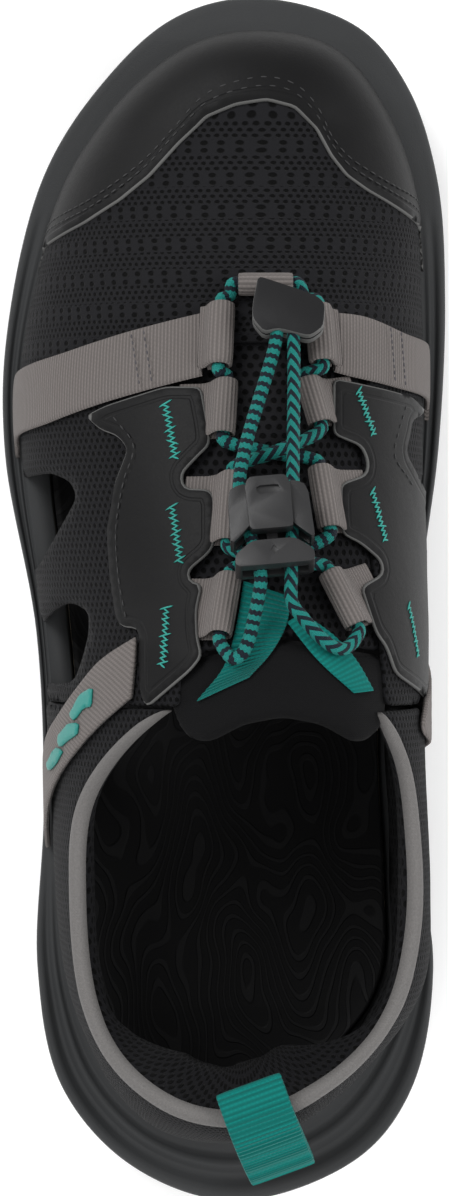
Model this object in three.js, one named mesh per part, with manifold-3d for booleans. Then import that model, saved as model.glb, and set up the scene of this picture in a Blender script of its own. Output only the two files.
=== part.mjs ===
// Closed-toe sport sandal, left foot, laced with one elastic cord and a sliding cord lock.
// Millimetres. +Z up, +Y towards the toe, +X towards the inner (medial) side of the foot.
import * as THREE from 'three';
import { mergeVertices } from 'three/addons/utils/BufferGeometryUtils.js';
import Module from 'manifold-3d';

const wasm = await Module();
wasm.setup();

// ---- driving dimensions ----
const LENGTH = 280;
const WIDTH = 104;
const HEEL_STACK = 36;        // ground to the upper's bottom edge under the heel
const FOREFOOT_STACK = 24;    // the same under the ball of the foot
const INSTEP_HEIGHT = 92;     // ground to the top of the foot at the middle of the lacing
const TOE_SPRING = 10;        // how far the tip of the sole rises from the ground
const GAP = 0.3;              // clearance between neighbouring layers
const MESH = 1.2;             // thickness of the outer mesh
const FILM = 1.0;             // thickness of the smooth overlays
const WEBBING = 1.4;          // thickness of the woven straps
const FOAM = 2.3;             // padding and stiffeners under the mesh
const LINING = 1.0;           // inner sock
const OUTSOLE = 3.0;          // rubber sheet of the tread, without the lugs
const LUG = 3.5;              // height of a tread lug
const POCKET = 4;             // depth of the footbed recess in the midsole
const BOARD = 1.5;            // lasting board
const INSOLE = 3.9;
const CORD = 3;               // diameter of the elastic cord
const LOCK_WIDTH = 18.4;
const LOCK_LENGTH = 12.4;
const PRESS = 2;              // plunger stroke
const BINDING = 3;            // height of the collar binding
const PULL_TAB_WIDTH = 15;
const PULL_TAB_LENGTH = 23;

// offsets of the layers from the outer face of the padding
const MESH_OUT = MESH;
const FILM_IN = MESH_OUT + GAP;
const FILM_OUT = FILM_IN + FILM;
const WEB_IN = FILM_IN;        // straps lie on the mesh, beside the overlays
const WEB_OUT = WEB_IN + WEBBING;
const HEEL_LIFT = 0.8;        // the heel straps stand off the heel mesh by this much more
const BADGE_IN = WEB_OUT + HEEL_LIFT + GAP;
const BADGE = 0.9;
const TACK = 0.8;
const FOAM_OUT = -GAP;
const FOAM_IN = FOAM_OUT - FOAM;
const LINING_OUT = FOAM_IN - GAP;
const LINING_IN = LINING_OUT - LINING;

const SX = WIDTH / 104;
const SY = LENGTH / 280;
const SZ = INSTEP_HEIGHT / 92;
const plan = (points) => points.map(([x, y]) => new THREE.Vector2(x * SX, y * SY));

// ---- plan outlines of the sole ----
const SOLE = plan([
  [7.5, 140], [31, 133.5], [43, 119.5], [50, 98.5], [52, 70], [50.4, 35], [46.5, 5], [44, -30],
  [45.5, -60], [48.8, -86], [44, -113.5], [31.5, -130], [3, -140], [-21, -132], [-37.4, -113.5],
  [-43, -86], [-41.6, -50], [-43.5, -8], [-51, 34], [-50.6, 62], [-42, 98.5], [-28.7, 119.5],
  [-11, 135.5],
]);
const FEATHER = plan([
  [9, 129.3], [25, 125.5], [37, 111], [43, 93], [45.4, 62], [45, 28], [43, 0], [41.5, -35],
  [42.8, -65], [42, -87], [33, -103], [18, -118], [3, -122.5], [-12, -120.5], [-24, -110.5],
  [-33, -93], [-37.5, -65], [-39, -32], [-41.4, -4], [-45.2, 26], [-46, 52], [-40.4, 80],
  [-33, 100], [-21, 116], [-6, 126.7],
]);
// edge of the foot opening, seen from above
const COLLAR = plan([
  [13, -24], [30, -22], [38.5, -34], [42, -55], [41.5, -75], [36.5, -92], [24, -106],
  [6, -113.5], [-10, -111.5], [-23, -102.5], [-29.5, -90], [-32.2, -66], [-30.5, -46],
  [-20.5, -31], [-8, -23],
]);

const closedCurve = (points, count) => {
  const curve = new THREE.CatmullRomCurve3(points.map((p) => new THREE.Vector3(p.x, p.y, 0)), true);
  return curve.getPoints(count).slice(0, -1).map((p) => new THREE.Vector2(p.x, p.y));
};
const SOLE_RING = closedCurve(SOLE, 184);
const FEATHER_RING = closedCurve(FEATHER, 200);
const COLLAR_RING = closedCurve(COLLAR, 120);

// ---- heights along the foot, each a smooth run between named stations [y, value] ----
const along = (stations) => (y) => {
  const last = stations.length - 1;
  const at = y / SY;
  if (at >= stations[0][0]) return stations[0][1];
  if (at <= stations[last][0]) return stations[last][1];
  const k = stations.findIndex(([s]) => at >= s);
  const [y0, v0] = stations[k - 1];
  const [y1, v1] = stations[k];
  return v1 + ((v0 - v1) * (at - y1)) / (y0 - y1);
};
const ridgeX = along([[108, 9], [72, 10], [40, 12.5], [0, 14.5], [-20, 14], [-65, 5], [-95, 4]]);
const ridgeRise = along([
  [108, 50], [88, 57], [70, 65], [48, 73], [20, 84], [0, 92], [-13, 99], [-27, 102], [-65, 104],
  [-95, 98],
]);
const ridgeZ = (y) => ridgeRise(y) * SZ;
const featherZ = along([
  [130, FOREFOOT_STACK + 6], [95, FOREFOOT_STACK + 2], [60, FOREFOOT_STACK],
  [20, FOREFOOT_STACK + 1], [-20, (FOREFOOT_STACK + HEEL_STACK) / 2 - 2], [-60, HEEL_STACK - 3],
  [-95, HEEL_STACK],
]);
const roundness = along([[120, 0.85], [90, 0.88], [50, 0.97], [0, 1], [-40, 0.95], [-95, 0.75]]);
const innerBulge = along([[45, 0], [15, 3], [-10, 5.8], [-60, 7.4], [-95, 4], [-112, 0]]);
const groundRise = along([
  [140, TOE_SPRING], [125, TOE_SPRING * 0.62], [105, TOE_SPRING * 0.25], [80, 0.04 * TOE_SPRING],
  [60, 0], [-118, 0], [-140, 3],
]);

// ---- stations: directions from the foot's ridge to the edge, once round the foot ----
const TOE = new THREE.Vector2(9 * SX, 108 * SY);
const HEEL = new THREE.Vector2(4 * SX, -95 * SY);
const FAN_TOE = 6;
const FAN_HEEL = 9;
const SPINE = [108, 96, 84, 72, 60, 48, 36, 24, 12, 0, -12, -24, -36, -48, -60, -72, -84, -95];

function reach(from, direction, ring) {
  let best = 0;
  ring.forEach((a, i) => {
    const b = ring[(i + 1) % ring.length];
    const edge = b.clone().sub(a);
    const den = direction.x * edge.y - direction.y * edge.x;
    const to = a.clone().sub(from);
    const s = (to.x * edge.y - to.y * edge.x) / den;
    const u = (to.x * direction.y - to.y * direction.x) / den;
    if (s > 0 && u >= 0 && u <= 1) best = Math.max(best, s);
  });
  return best;
}

function stationAt(from, angle) {
  const direction = new THREE.Vector2(Math.cos(angle), Math.sin(angle));
  const edge = reach(from, direction, FEATHER_RING);
  const edgeY = from.y + direction.y * edge;
  return {
    from,
    direction,
    edge,
    sole: reach(from, direction, SOLE_RING),
    collar: reach(from, direction, COLLAR_RING),
    power: roundness(edgeY),
    bulge: direction.x > 0 ? innerBulge(edgeY) * SX * Math.abs(direction.x) : 0,
  };
}

function allStations() {
  const list = [];
  const right = Math.PI / 2;
  for (let i = 0; i < FAN_TOE; i += 1) list.push(stationAt(TOE, right - (right * i) / FAN_TOE));
  const spine = SPINE.map((y) => new THREE.Vector2(ridgeX(y * SY) * SX, y * SY));
  spine.forEach((p) => list.push(stationAt(p, 0)));
  for (let i = 1; i < FAN_HEEL; i += 1) list.push(stationAt(HEEL, -(Math.PI * i) / FAN_HEEL));
  spine.reverse().forEach((p) => list.push(stationAt(p, Math.PI)));
  for (let i = 1; i < FAN_TOE; i += 1) list.push(stationAt(TOE, Math.PI - (right * i) / FAN_TOE));
  return list;
}
const STATIONS = allStations();
const COUNT = STATIONS.length;

// point of the foot-shaped surface: phi runs from 0 at the feather edge to 90 degrees on the ridge
function onLast(station, phi, offset) {
  const cos = Math.cos(phi);
  const flat = (station.edge + offset) * (cos < 1e-9 ? 0 : cos ** station.power);
  const out = flat + station.bulge * Math.sin(2 * phi);
  const x = station.from.x + station.direction.x * out;
  const y = station.from.y + station.direction.y * out;
  const foot = featherZ(station.from.y + station.direction.y * station.edge) + GAP;
  const top = ridgeZ(station.from.y) + offset;
  const z = foot + (top - foot) * Math.sin(phi) ** station.power;
  return new THREE.Vector3(x, y, z);
}

// the phi at which the outer surface passes over a given distance from the ridge
function phiAt(station, distance) {
  let low = 0.15;
  let high = Math.PI / 2;
  for (let i = 0; i < 30; i += 1) {
    const mid = (low + high) / 2;
    const p = onLast(station, mid, 0);
    const far = Math.hypot(p.x - station.from.x, p.y - station.from.y);
    if (far > distance) low = mid;
    else high = mid;
  }
  return low;
}
const ridge = () => Math.PI / 2;
const foot = () => 0;
const collarPhi = (station) => (station.collar > 0 ? phiAt(station, station.collar) : Math.PI / 2);
// the same, moved down the wall by a length in millimetres
const belowCollar = (drop) => (station) => {
  const phi = collarPhi(station);
  const a = onLast(station, phi, 0);
  const b = onLast(station, phi - 0.1, 0);
  return Math.max(phi - (0.1 * drop) / a.distanceTo(b), 0.02);
};

// height of the outer surface, moved out by an offset, over a plan point
function over(x, y, offset) {
  const from = y > TOE.y ? TOE : new THREE.Vector2(ridgeX(y) * SX, y);
  const angle = Math.atan2(y - from.y, x - from.x);
  const station = stationAt(from, angle);
  const distance = Math.hypot(x - from.x, y - from.y);
  const phi = distance < 1e-6 ? Math.PI / 2 : phiAt(station, distance);
  return new THREE.Vector3(x, y, onLast(station, phi, 0).z + offset);
}

// ---- solids ----
function manifoldOf(points, triangles) {
  const verts = [];
  const index = new Map();
  const ids = points.map((p) => {
    const key = [p.x, p.y, p.z].map((v) => Math.round(v * 1e4)).join(',');
    if (!index.has(key)) {
      index.set(key, verts.length / 3);
      verts.push(p.x, p.y, p.z);
    }
    return index.get(key);
  });
  const tris = [];
  triangles.forEach(([a, b, c]) => {
    const [i, j, k] = [ids[a], ids[b], ids[c]];
    if (i !== j && j !== k && k !== i) tris.push(i, j, k);
  });
  return new wasm.Manifold(new wasm.Mesh({
    numProp: 3,
    vertProperties: Float32Array.from(verts),
    triVerts: Uint32Array.from(tris),
  }));
}

function manifoldFrom(geometry) {
  const bare = geometry.clone();
  bare.deleteAttribute('uv');
  bare.deleteAttribute('normal');
  const merged = mergeVertices(bare, 1e-4);
  const position = merged.attributes.position;
  const points = [];
  for (let i = 0; i < position.count; i += 1) {
    points.push(new THREE.Vector3().fromBufferAttribute(position, i));
  }
  const triangles = [];
  const index = merged.index.array;
  for (let i = 0; i < index.length; i += 3) triangles.push([index[i], index[i + 1], index[i + 2]]);
  return manifoldOf(points, triangles);
}

function geometryOf(solid) {
  const mesh = solid.getMesh();
  const geometry = new THREE.BufferGeometry();
  const position = [];
  for (let i = 0; i < mesh.vertProperties.length; i += mesh.numProp) {
    position.push(mesh.vertProperties[i], mesh.vertProperties[i + 1], mesh.vertProperties[i + 2]);
  }
  geometry.setAttribute('position', new THREE.Float32BufferAttribute(position, 3));
  geometry.setIndex(Array.from(mesh.triVerts));
  geometry.computeVertexNormals();
  return geometry;
}

// a closed skin between two offsets and two heights, over a run of stations (once round if open ended)
function shell(inner, outer, { first = 0, last = COUNT, low = foot, high = ridge, rows = 6 } = {}) {
  const round = last - first >= COUNT;
  const columns = [];
  for (let i = first; i <= last; i += 1) {
    const station = STATIONS[((i % COUNT) + COUNT) % COUNT];
    const from = low(station);
    const to = high(station);
    const column = { open: to < Math.PI / 2 - 1e-6, inner: [], outer: [] };
    for (let j = 0; j <= rows; j += 1) {
      const phi = from + ((to - from) * j) / rows;
      column.inner.push(onLast(station, phi, inner));
      column.outer.push(onLast(station, phi, outer));
    }
    columns.push(column);
  }
  const points = [];
  const triangles = [];
  const quad = (a, b, c, d) => {
    const n = points.length;
    points.push(a, b, c, d);
    triangles.push([n, n + 1, n + 2], [n, n + 2, n + 3]);
  };
  for (let i = 0; i + 1 < columns.length; i += 1) {
    const a = columns[i];
    const b = columns[i + 1];
    for (let j = 0; j < rows; j += 1) {
      quad(a.outer[j + 1], b.outer[j + 1], b.outer[j], a.outer[j]);
      quad(b.inner[j], b.inner[j + 1], a.inner[j + 1], a.inner[j]);
    }
    quad(a.outer[0], b.outer[0], b.inner[0], a.inner[0]);
    if (a.open || b.open) quad(a.inner[rows], b.inner[rows], b.outer[rows], a.outer[rows]);
  }
  if (!round) {
    const a = columns[0];
    const b = columns[columns.length - 1];
    for (let j = 0; j < rows; j += 1) {
      quad(a.inner[j], a.inner[j + 1], a.outer[j + 1], a.outer[j]);
      quad(b.outer[j], b.outer[j + 1], b.inner[j + 1], b.inner[j]);
    }
  }
  return manifoldOf(points, triangles);
}

// a vertical prism over a plan outline, smooth or with straight sides
function prism(points, { smooth = false, low = -20, high = 200 } = {}) {
  const outline = plan(points);
  const shape = new THREE.Shape(smooth ? closedCurve(outline, outline.length * 4) : outline);
  const solid = new THREE.ExtrudeGeometry(shape, { depth: high - low, bevelEnabled: false });
  solid.translate(0, 0, low);
  return manifoldFrom(solid);
}

// station index of a spine place on the inner (right) or outer (left) side
const nearest = (y) => SPINE.reduce((best, s, i) => (
  Math.abs(s - y) < Math.abs(SPINE[best] - y) ? i : best), 0);
const innerSide = (y) => FAN_TOE + nearest(y);
const outerSide = (y) => FAN_TOE + SPINE.length + FAN_HEEL - 1 + (SPINE.length - 1 - nearest(y));
// runs that start on the outer side and pass the toe, or start on the inner side and pass the heel
const roundToe = (y) => ({ first: outerSide(y), last: COUNT + innerSide(y) });
const roundHeel = (y) => ({ first: innerSide(y), last: outerSide(y) });

const part = new THREE.Group();
part.name = 'sport_sandal';
const colours = {
  rubber: [0x2e2e30, 0.8],
  foam: [0x3b3c3e, 0.75],
  black: [0x141415, 0.9],
  film: [0x1b1b1c, 0.45],
  grey: [0x77716f, 0.85],
  teal: [0x087a70, 0.8],
  plastic: [0x232324, 0.4],
  board: [0xb9ab93, 0.9],
  steel: [0xb8bbc0, 0.3, 1],
};
function add(name, solid, colour) {
  const [tint, roughness, metalness = 0] = colours[colour];
  const material = new THREE.MeshStandardMaterial({ color: tint, roughness, metalness });
  material.name = `${name}_${colour}`;
  const mesh = new THREE.Mesh(geometryOf(solid), material);
  mesh.name = name;
  part.add(mesh);
}

// ---- sole ----
// a solid of rings round the ridge: each ring gives a distance and a height for a station
function rings(list) {
  const points = [];
  const triangles = [];
  const rows = list.map((ring) => STATIONS.map((station) => {
    const { out, z } = ring(station);
    const x = station.from.x + station.direction.x * out;
    const y = station.from.y + station.direction.y * out;
    return new THREE.Vector3(x, y, z(y));
  }));
  for (let r = 0; r + 1 < rows.length; r += 1) {
    for (let i = 0; i < COUNT; i += 1) {
      const k = (i + 1) % COUNT;
      const n = points.length;
      points.push(rows[r][i], rows[r][k], rows[r + 1][k], rows[r + 1][i]);
      triangles.push([n + 2, n + 1, n], [n + 3, n + 2, n]);
    }
  }
  return manifoldOf(points, triangles);
}
const mix = (station, t) => station.sole + (station.edge - station.sole) * t;
const treadZ = (y) => groundRise(y) + LUG;
const jointZ = (y) => treadZ(y) + OUTSOLE;

function buildOutsole() {
  const sheet = rings([
    () => ({ out: 0, z: treadZ }),
    (s) => ({ out: s.sole - 4, z: treadZ }),
    (s) => ({ out: s.sole - 1.6, z: (y) => treadZ(y) + 0.8 }),
    (s) => ({ out: s.sole - 1, z: jointZ }),
    () => ({ out: 0, z: jointZ }),
  ]);
  const lugs = [];
  const rows = 13;
  for (let row = 0; row < rows; row += 1) {
    const y = (-122 + (row * 240) / (rows - 1)) * SY;
    const station = stationAt(new THREE.Vector2(ridgeX(Math.max(y, HEEL.y)) * SX, y), 0);
    const other = stationAt(station.from, Math.PI);
    const right = station.from.x + station.sole - 5;
    const left = station.from.x - other.sole + 5;
    const columns = right - left > 70 * SX ? 4 : 3;
    const pitch = (right - left) / columns;
    for (let c = 0; c < columns; c += 1) {
      const lug = new THREE.BoxGeometry(pitch - 4, 12 * SY, LUG + OUTSOLE / 2);
      const rise = groundRise(y);
      lug.translate(left + pitch * (c + 0.5), y, rise + (LUG + OUTSOLE / 2) / 2);
      lugs.push(manifoldFrom(lug));
    }
  }
  const bounds = rings([
    () => ({ out: 0, z: () => -1 }),
    (s) => ({ out: s.sole - 4, z: () => -1 }),
    (s) => ({ out: s.sole - 4, z: jointZ }),
    () => ({ out: 0, z: jointZ }),
  ]);
  return lugs.reduce((sum, lug) => sum.add(lug.intersect(bounds)), sheet);
}
add('outsole', buildOutsole(), 'rubber');

const shankSlot = () => prism(
  [[-9, 22], [15, 22], [14, -62], [-10, -62]],
  { low: 0, high: LUG + OUTSOLE + GAP + 1.8 },
);
function buildMidsole() {
  const base = (y) => jointZ(y) + GAP;
  const body = rings([
    () => ({ out: 0, z: base }),
    (s) => ({ out: s.sole - 1.2, z: base }),
    (s) => ({ out: s.sole, z: (y) => base(y) + (featherZ(y) - base(y)) * 0.45 }),
    (s) => ({ out: s.sole - 0.8, z: (y) => featherZ(y) - 4 }),
    (s) => ({ out: mix(s, 0.35), z: (y) => featherZ(y) - 1.6 }),
    (s) => ({ out: mix(s, 0.6), z: (y) => featherZ(y) - 0.8 }),
    (s) => ({ out: s.edge, z: featherZ }),
    (s) => ({ out: s.edge - 5, z: featherZ }),
    (s) => ({ out: s.edge - 5, z: (y) => featherZ(y) - POCKET }),
    () => ({ out: 0, z: (y) => featherZ(y) - POCKET }),
  ]);
  return body.subtract(shankSlot());
}
add('midsole', buildMidsole(), 'foam');
add('shank', prism(
  [[-8.4, 21.4], [14.4, 21.4], [13.4, -61.4], [-9.4, -61.4]],
  { low: LUG + OUTSOLE + GAP, high: LUG + OUTSOLE + GAP + 1.5 },
), 'board');

function sheetOn(height, thickness, inset) {
  return rings([
    () => ({ out: 0, z: (y) => featherZ(y) + height }),
    (s) => ({ out: s.edge - inset, z: (y) => featherZ(y) + height }),
    (s) => ({ out: s.edge - inset, z: (y) => featherZ(y) + height + thickness }),
    () => ({ out: 0, z: (y) => featherZ(y) + height + thickness }),
  ]);
}
add('lasting_board', sheetOn(GAP - POCKET, BOARD, 5.4), 'board');
add('insole', sheetOn(2 * GAP - POCKET + BOARD, INSOLE, 5.6), 'black');

// ---- inner layers of the upper ----
add('heel_lining', shell(LINING_IN, LINING_OUT, { ...roundHeel(-24), high: collarPhi }), 'black');
// the padding fills the upper half of the heel wall and the counter the lower half
const halfway = (station) => collarPhi(station) / 2;
const COUNTER_GAP = 0.012;    // radians, about a layer's clearance on the heel wall
add('collar_padding', shell(FOAM_IN, FOAM_OUT, {
  ...roundHeel(-24), low: halfway, high: collarPhi, rows: 3,
}), 'black');
add('heel_counter', shell(FOAM_IN, FOAM_OUT, {
  ...roundHeel(-60), high: (station) => halfway(station) - COUNTER_GAP, rows: 3,
}), 'board');
add('toe_puff', shell(-1.5, FOAM_OUT, {
  ...roundToe(96), high: () => Math.PI / 3, rows: 4,
}), 'board');

// ---- tongue ----
const tongueFoot = () => Math.PI / 6;
const tongueBlank = shell(FOAM_IN, FOAM_OUT, { ...roundToe(-36), low: tongueFoot, rows: 4 });
add('tongue', tongueBlank.intersect(prism([
  [-7, 66], [28, 66], [37, 20], [37, -12], [13, -8], [-14, -14], [-13, 20],
])), 'black');
add('tongue_collar', tongueBlank.intersect(prism([
  [-14, -14.4], [13, -8.4], [37, -12.4], [37, -23.4], [28, -23.4], [26.8, -24.4], [28.8, -27],
  [31, -31], [27, -31], [21, -27], [13, -25.6], [4, -27], [-2, -31], [-6.6, -30.4], [-4.2, -24.4],
  [-5.4, -23.4], [-14, -23.4],
])), 'black');
const tapeBlank = shell(0, MESH_OUT, { ...roundToe(-36), low: tongueFoot, rows: 4 });
const TAPE_A = [[4.6, 3.6], [14.8, 0], [13.8, -6], [6, -17], [-5.4, -22.4], [0.4, -14.8]];
add('gusset_tape_lateral', tapeBlank.intersect(prism(TAPE_A)), 'teal');
add('gusset_tape_medial', tapeBlank.intersect(prism([
  [14.6, -5.6], [24.4, -8.6], [31.6, -19.6], [25, -17.4], [19, -11.8], [14.2, -6.6],
])), 'teal');

// ---- outer mesh ----
const meshBlank = shell(0, MESH_OUT, roundToe(-60));
const heelMeshBlank = shell(0, MESH_OUT, { ...roundHeel(-24), high: collarPhi });
const VAMP_EDGE = [[-60, 42], [-20, 53.5], [0, 57], [20, 57], [60, 49]];
const behind = (edge, step) => edge.map(([x, y]) => [x, y - step]);
add('vamp_mesh', meshBlank.intersect(prism([[60, 150], [-60, 150], ...VAMP_EDGE])), 'black');
const windowFront = prism([
  [-60, 30], [-46, 27.8], [-39, 28.6], [-34, 26.5], [-32.3, 22.8], [-35, 18], [-39, 11.5], [-42, 7],
  [-60, 0],
]);
const windowRear = prism([
  [-60, -6], [-42, -6.5], [-38, -2.6], [-34, -0.8], [-29.5, -2.8], [-29.4, -8], [-31, -14],
  [-33, -19], [-60, -22],
]);
const mirrored = (points) => points.map(([x, y]) => [-x, y]);
const lateralQuarter = meshBlank.intersect(prism([
  ...behind(VAMP_EDGE.slice(0, 2), 0.4), [-13, 54.6], [-9, 30], [-9, -23.6], [-60, -23.6],
]));
add('quarter_mesh_lateral', lateralQuarter.subtract(windowFront).subtract(windowRear), 'black');
// arched side windows of the inner side, cut from the side below the widest part of the wall
function arch(y0, y1, top) {
  const shape = new THREE.Shape();
  const rise = top - 12;
  shape.moveTo(y0 * SY, 10);
  shape.lineTo(y1 * SY, 10);
  shape.lineTo(y1 * SY, rise);
  shape.quadraticCurveTo(y1 * SY, top, ((y0 + y1) / 2) * SY, top);
  shape.quadraticCurveTo(y0 * SY, top, y0 * SY, rise);
  const g = new THREE.ExtrudeGeometry(shape, { depth: 60, bevelEnabled: false, curveSegments: 4 });
  const turn = new THREE.Matrix4().makeBasis(
    new THREE.Vector3(0, 1, 0), new THREE.Vector3(0, 0, 1), new THREE.Vector3(1, 0, 0),
  ).setPosition(25 * SX, 0, 0);
  return manifoldFrom(g.applyMatrix4(turn));
}
const medialWindowFront = arch(10, 27, 46);
const medialWindowRear = arch(-9, 4, 46);
add('quarter_mesh_medial', meshBlank.intersect(prism([
  ...mirrored([[-60, 48.6], [-38, 53], [-32, 54], [-31, 30], [-34, -6], [-35, -23.6], [-60, -23.6]]),
])).subtract(medialWindowFront).subtract(medialWindowRear), 'black');
add('heel_mesh', heelMeshBlank, 'black');

// ---- smooth overlays ----
const filmBlank = shell(FILM_IN, FILM_OUT, roundToe(-60));
add('toe_cap', filmBlank.intersect(prism([
  [60, 150], [-60, 150], [-60, 76], [-40, 81], [-30, 85.6], [-22, 90.6], [-15.5, 96], [-9, 103.5],
  [-3, 109.4], [3.4, 111.9], [10, 112.8], [15.7, 111.4], [20.3, 107], [23.6, 100.5], [27, 96],
  [31.5, 92.8], [37.5, 89.6], [43, 86.6], [60, 76],
])), 'film');
const LATERAL_STAY = [
  [-4.2, 47], [-2.6, 38], [-2.2, 34], [-5.2, 31], [-8.4, 27.4], [-7.8, 24.2], [-2.6, 24],
  [-1.3, 22.4], [-1.3, 11.6], [-2.6, 9.6], [-6.8, 6], [-6.4, 3.6], [-3.8, 3], [-5, -2.6],
  [-4.8, -8.5], [-3.8, -12.6], [-6.3, -15.8], [-11.5, -20.4], [-15.5, -24], [-17, -20.6],
  [-17.3, -6.6], [-20.9, -6.6], [-22.4, -4], [-23.8, 5.3], [-24.5, 15], [-22.8, 25.8],
  [-20, 33.2], [-22.2, 36.2], [-26, 37.6], [-29.5, 41], [-25, 43.2], [-12, 47.2],
];
add('eyestay_lateral', filmBlank.intersect(prism(LATERAL_STAY)), 'film');
const MEDIAL_STAY = [
  [23.9, 49], [36.4, 46.8], [41.5, 45.8], [45, 43], [41, 40.2], [40.6, 37], [39.5, 33], [43, 26.6],
  [45.6, 22.4], [47.4, 14], [48, 5.6], [50, 0.4], [46.4, -3], [45, -10], [45, -24], [42, -20.6],
  [36.6, -16.6], [34.6, -10.6], [32.6, -7.9], [31.6, -4.8], [29.4, 2.4], [34.2, 5.3], [33.8, 8.2],
  [29.5, 12], [25.5, 14], [25.2, 25.2], [30.8, 27.4], [31.2, 30.3], [29.8, 33.8], [23.8, 36.2],
];
add('eyestay_medial', filmBlank.intersect(prism(MEDIAL_STAY))
  .subtract(medialWindowFront).subtract(medialWindowRear), 'film');

// ---- woven straps ----
const webBlank = shell(WEB_IN, WEB_OUT, roundToe(-72));
const lateralStrap = webBlank.intersect(prism([
  [-51, 48.8], [-47.5, 50.3], [-34, 55.8], [-18, 60.4], [-4, 63.8], [-4, 49], [-11.4, 47.6],
  [-24, 44.2], [-37.6, 39.8], [-46.3, 35.2], [-51, 32.6],
]));
const medialStrap = webBlank.intersect(prism([
  [24, 64], [30.4, 63.4], [39, 60.4], [45.4, 57.2], [51.4, 54], [51.4, 41.4], [46.2, 44], [37, 47.6],
  [27, 49.6], [24, 50.2],
]));
const heelWebBlank = shell(WEB_IN + HEEL_LIFT, WEB_OUT + HEEL_LIFT, roundToe(-72));
add('heel_strap_lateral', heelWebBlank.intersect(prism([
  [-17.7, -8.6], [-25, -13.6], [-30, -19.6], [-34.4, -26], [-38, -33], [-41, -41], [-50, -52],
  [-42, -58], [-37.6, -48.6], [-34.4, -39.8], [-30.8, -34.6], [-27.2, -30.2], [-22.6, -25.6],
  [-18.6, -22],
])), 'grey');
add('heel_strap_medial', heelWebBlank.intersect(prism([
  [50, -10.4], [45.5, -10.4], [45.5, -24.6], [43.4, -23.4], [42.4, -29], [43.4, -38], [48, -50],
  [60, -46], [60, -20],
])), 'grey');
const badgeBlank = shell(BADGE_IN, BADGE_IN + BADGE, roundToe(-60));
add('strap_badge', badgeBlank.intersect(prism([
  [-25.5, -18.5], [-29.5, -21], [-31.5, -26], [-34.8, -30.5], [-37.5, -38.5], [-35.8, -38.6],
  [-31.5, -31.5], [-27.5, -28], [-25, -23],
])), 'teal');
const TACK_IN = FILM_OUT + GAP;
const tackBlank = shell(TACK_IN, TACK_IN + TACK, roundToe(-60));
const TACKS = {
  lateral_front: [[-11.8, 43.6], [-9.5, 30.8]],
  lateral_middle: [[-10.2, 20.5], [-8.3, 7.7]],
  lateral_rear: [[-11.2, -1.8], [-12, -15]],
  medial_front: [[29, 46.6], [32.3, 36.4]],
  medial_middle: [[31.8, 24], [34.6, 12.6]],
  medial_rear: [[39.4, -1.4], [41.4, -13]],
};
Object.entries(TACKS).forEach(([name, [a, b]]) => {
  const w = 1;
  add(`bar_tack_${name}`, tackBlank.intersect(prism([
    [a[0] - w, a[1]], [a[0] + w, a[1]], [b[0] + w, b[1]], [b[0] - w, b[1]],
  ])), 'teal');
});

// ---- collar binding: a bar that caps the layers along the foot opening ----
const bindingLow = belowCollar(-3 * GAP);
const bindingHigh = (station) => Math.min(belowCollar(-3 * GAP - BINDING)(station), 1.5);
add('collar_binding', shell(LINING_IN, MESH_OUT + 0.4, {
  ...roundHeel(-24), low: bindingLow, high: bindingHigh, rows: 1,
}), 'grey');

// ---- lace loops: a tunnel of webbing round the cord, with a tail towards the eyestay ----
const BAND = 0.9;
const TUNNEL = CORD / 2 + 0.35;
const ROUND = TUNNEL + BAND;
const REST = ROUND + 0.1;     // centre of a tunnel that lies on the tongue
const ASIDE = TUNNEL - 1.85;  // a thicker cord moves the tunnels away from the eyestays
const spot = ([x, y]) => new THREE.Vector2(x * SX, y * SY);

// point, normal and run direction half way between two plan points
function seat(front, rear, offset) {
  const [a, b] = [spot(front), spot(rear)];
  const mid = a.clone().add(b).multiplyScalar(0.5);
  const step = 2;
  const dx = over(mid.x + step, mid.y, 0).z - over(mid.x - step, mid.y, 0).z;
  const dy = over(mid.x, mid.y + step, 0).z - over(mid.x, mid.y - step, 0).z;
  const normal = new THREE.Vector3(-dx / (2 * step), -dy / (2 * step), 1).normalize();
  const run = new THREE.Vector3(a.x - b.x, a.y - b.y, 0);
  run.addScaledVector(normal, -run.dot(normal)).normalize();
  const centre = over(mid.x, mid.y, 0).addScaledVector(normal, offset);
  return { centre, normal, run, half: a.distanceTo(b) / 2 / Math.hypot(run.x, run.y) };
}

function tunnel(front, rear, offset, { tail = 0, low = -0.8, high = 0.8, side = 1 }) {
  const { centre, normal, run, half } = seat(front, rear, offset);
  const across = new THREE.Vector3().crossVectors(run, normal).multiplyScalar(side);
  const shape = new THREE.Shape();
  if (tail > ROUND) {
    const up = Math.asin(high / ROUND);
    const down = Math.asin(low / ROUND);
    shape.absarc(0, 0, ROUND, up, 2 * Math.PI + down, false);
    shape.lineTo(tail, low);
    shape.lineTo(tail, high);
  } else shape.absarc(0, 0, ROUND, 0, 2 * Math.PI, false);
  const hole = new THREE.Path();
  hole.absarc(0, 0, TUNNEL, 0, 2 * Math.PI, true);
  shape.holes.push(hole);
  const ring = new THREE.ExtrudeGeometry(shape, {
    depth: 2 * half, bevelEnabled: false, curveSegments: 12,
  });
  ring.translate(0, 0, -half);
  const depth = new THREE.Vector3().crossVectors(across, normal);
  ring.applyMatrix4(new THREE.Matrix4().makeBasis(across, normal, depth).setPosition(centre));
  return {
    solid: manifoldFrom(ring),
    front: centre.clone().addScaledVector(run, half),
    rear: centre.clone().addScaledVector(run, -half),
    run,
  };
}
const ON_MESH = MESH_OUT + GAP + ROUND;
const STRAP_LEVEL = (WEB_IN + WEB_OUT) / 2 - ON_MESH;
const strapTail = { tail: 4.6, low: STRAP_LEVEL - 0.6, high: STRAP_LEVEL + 0.6 };
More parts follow.
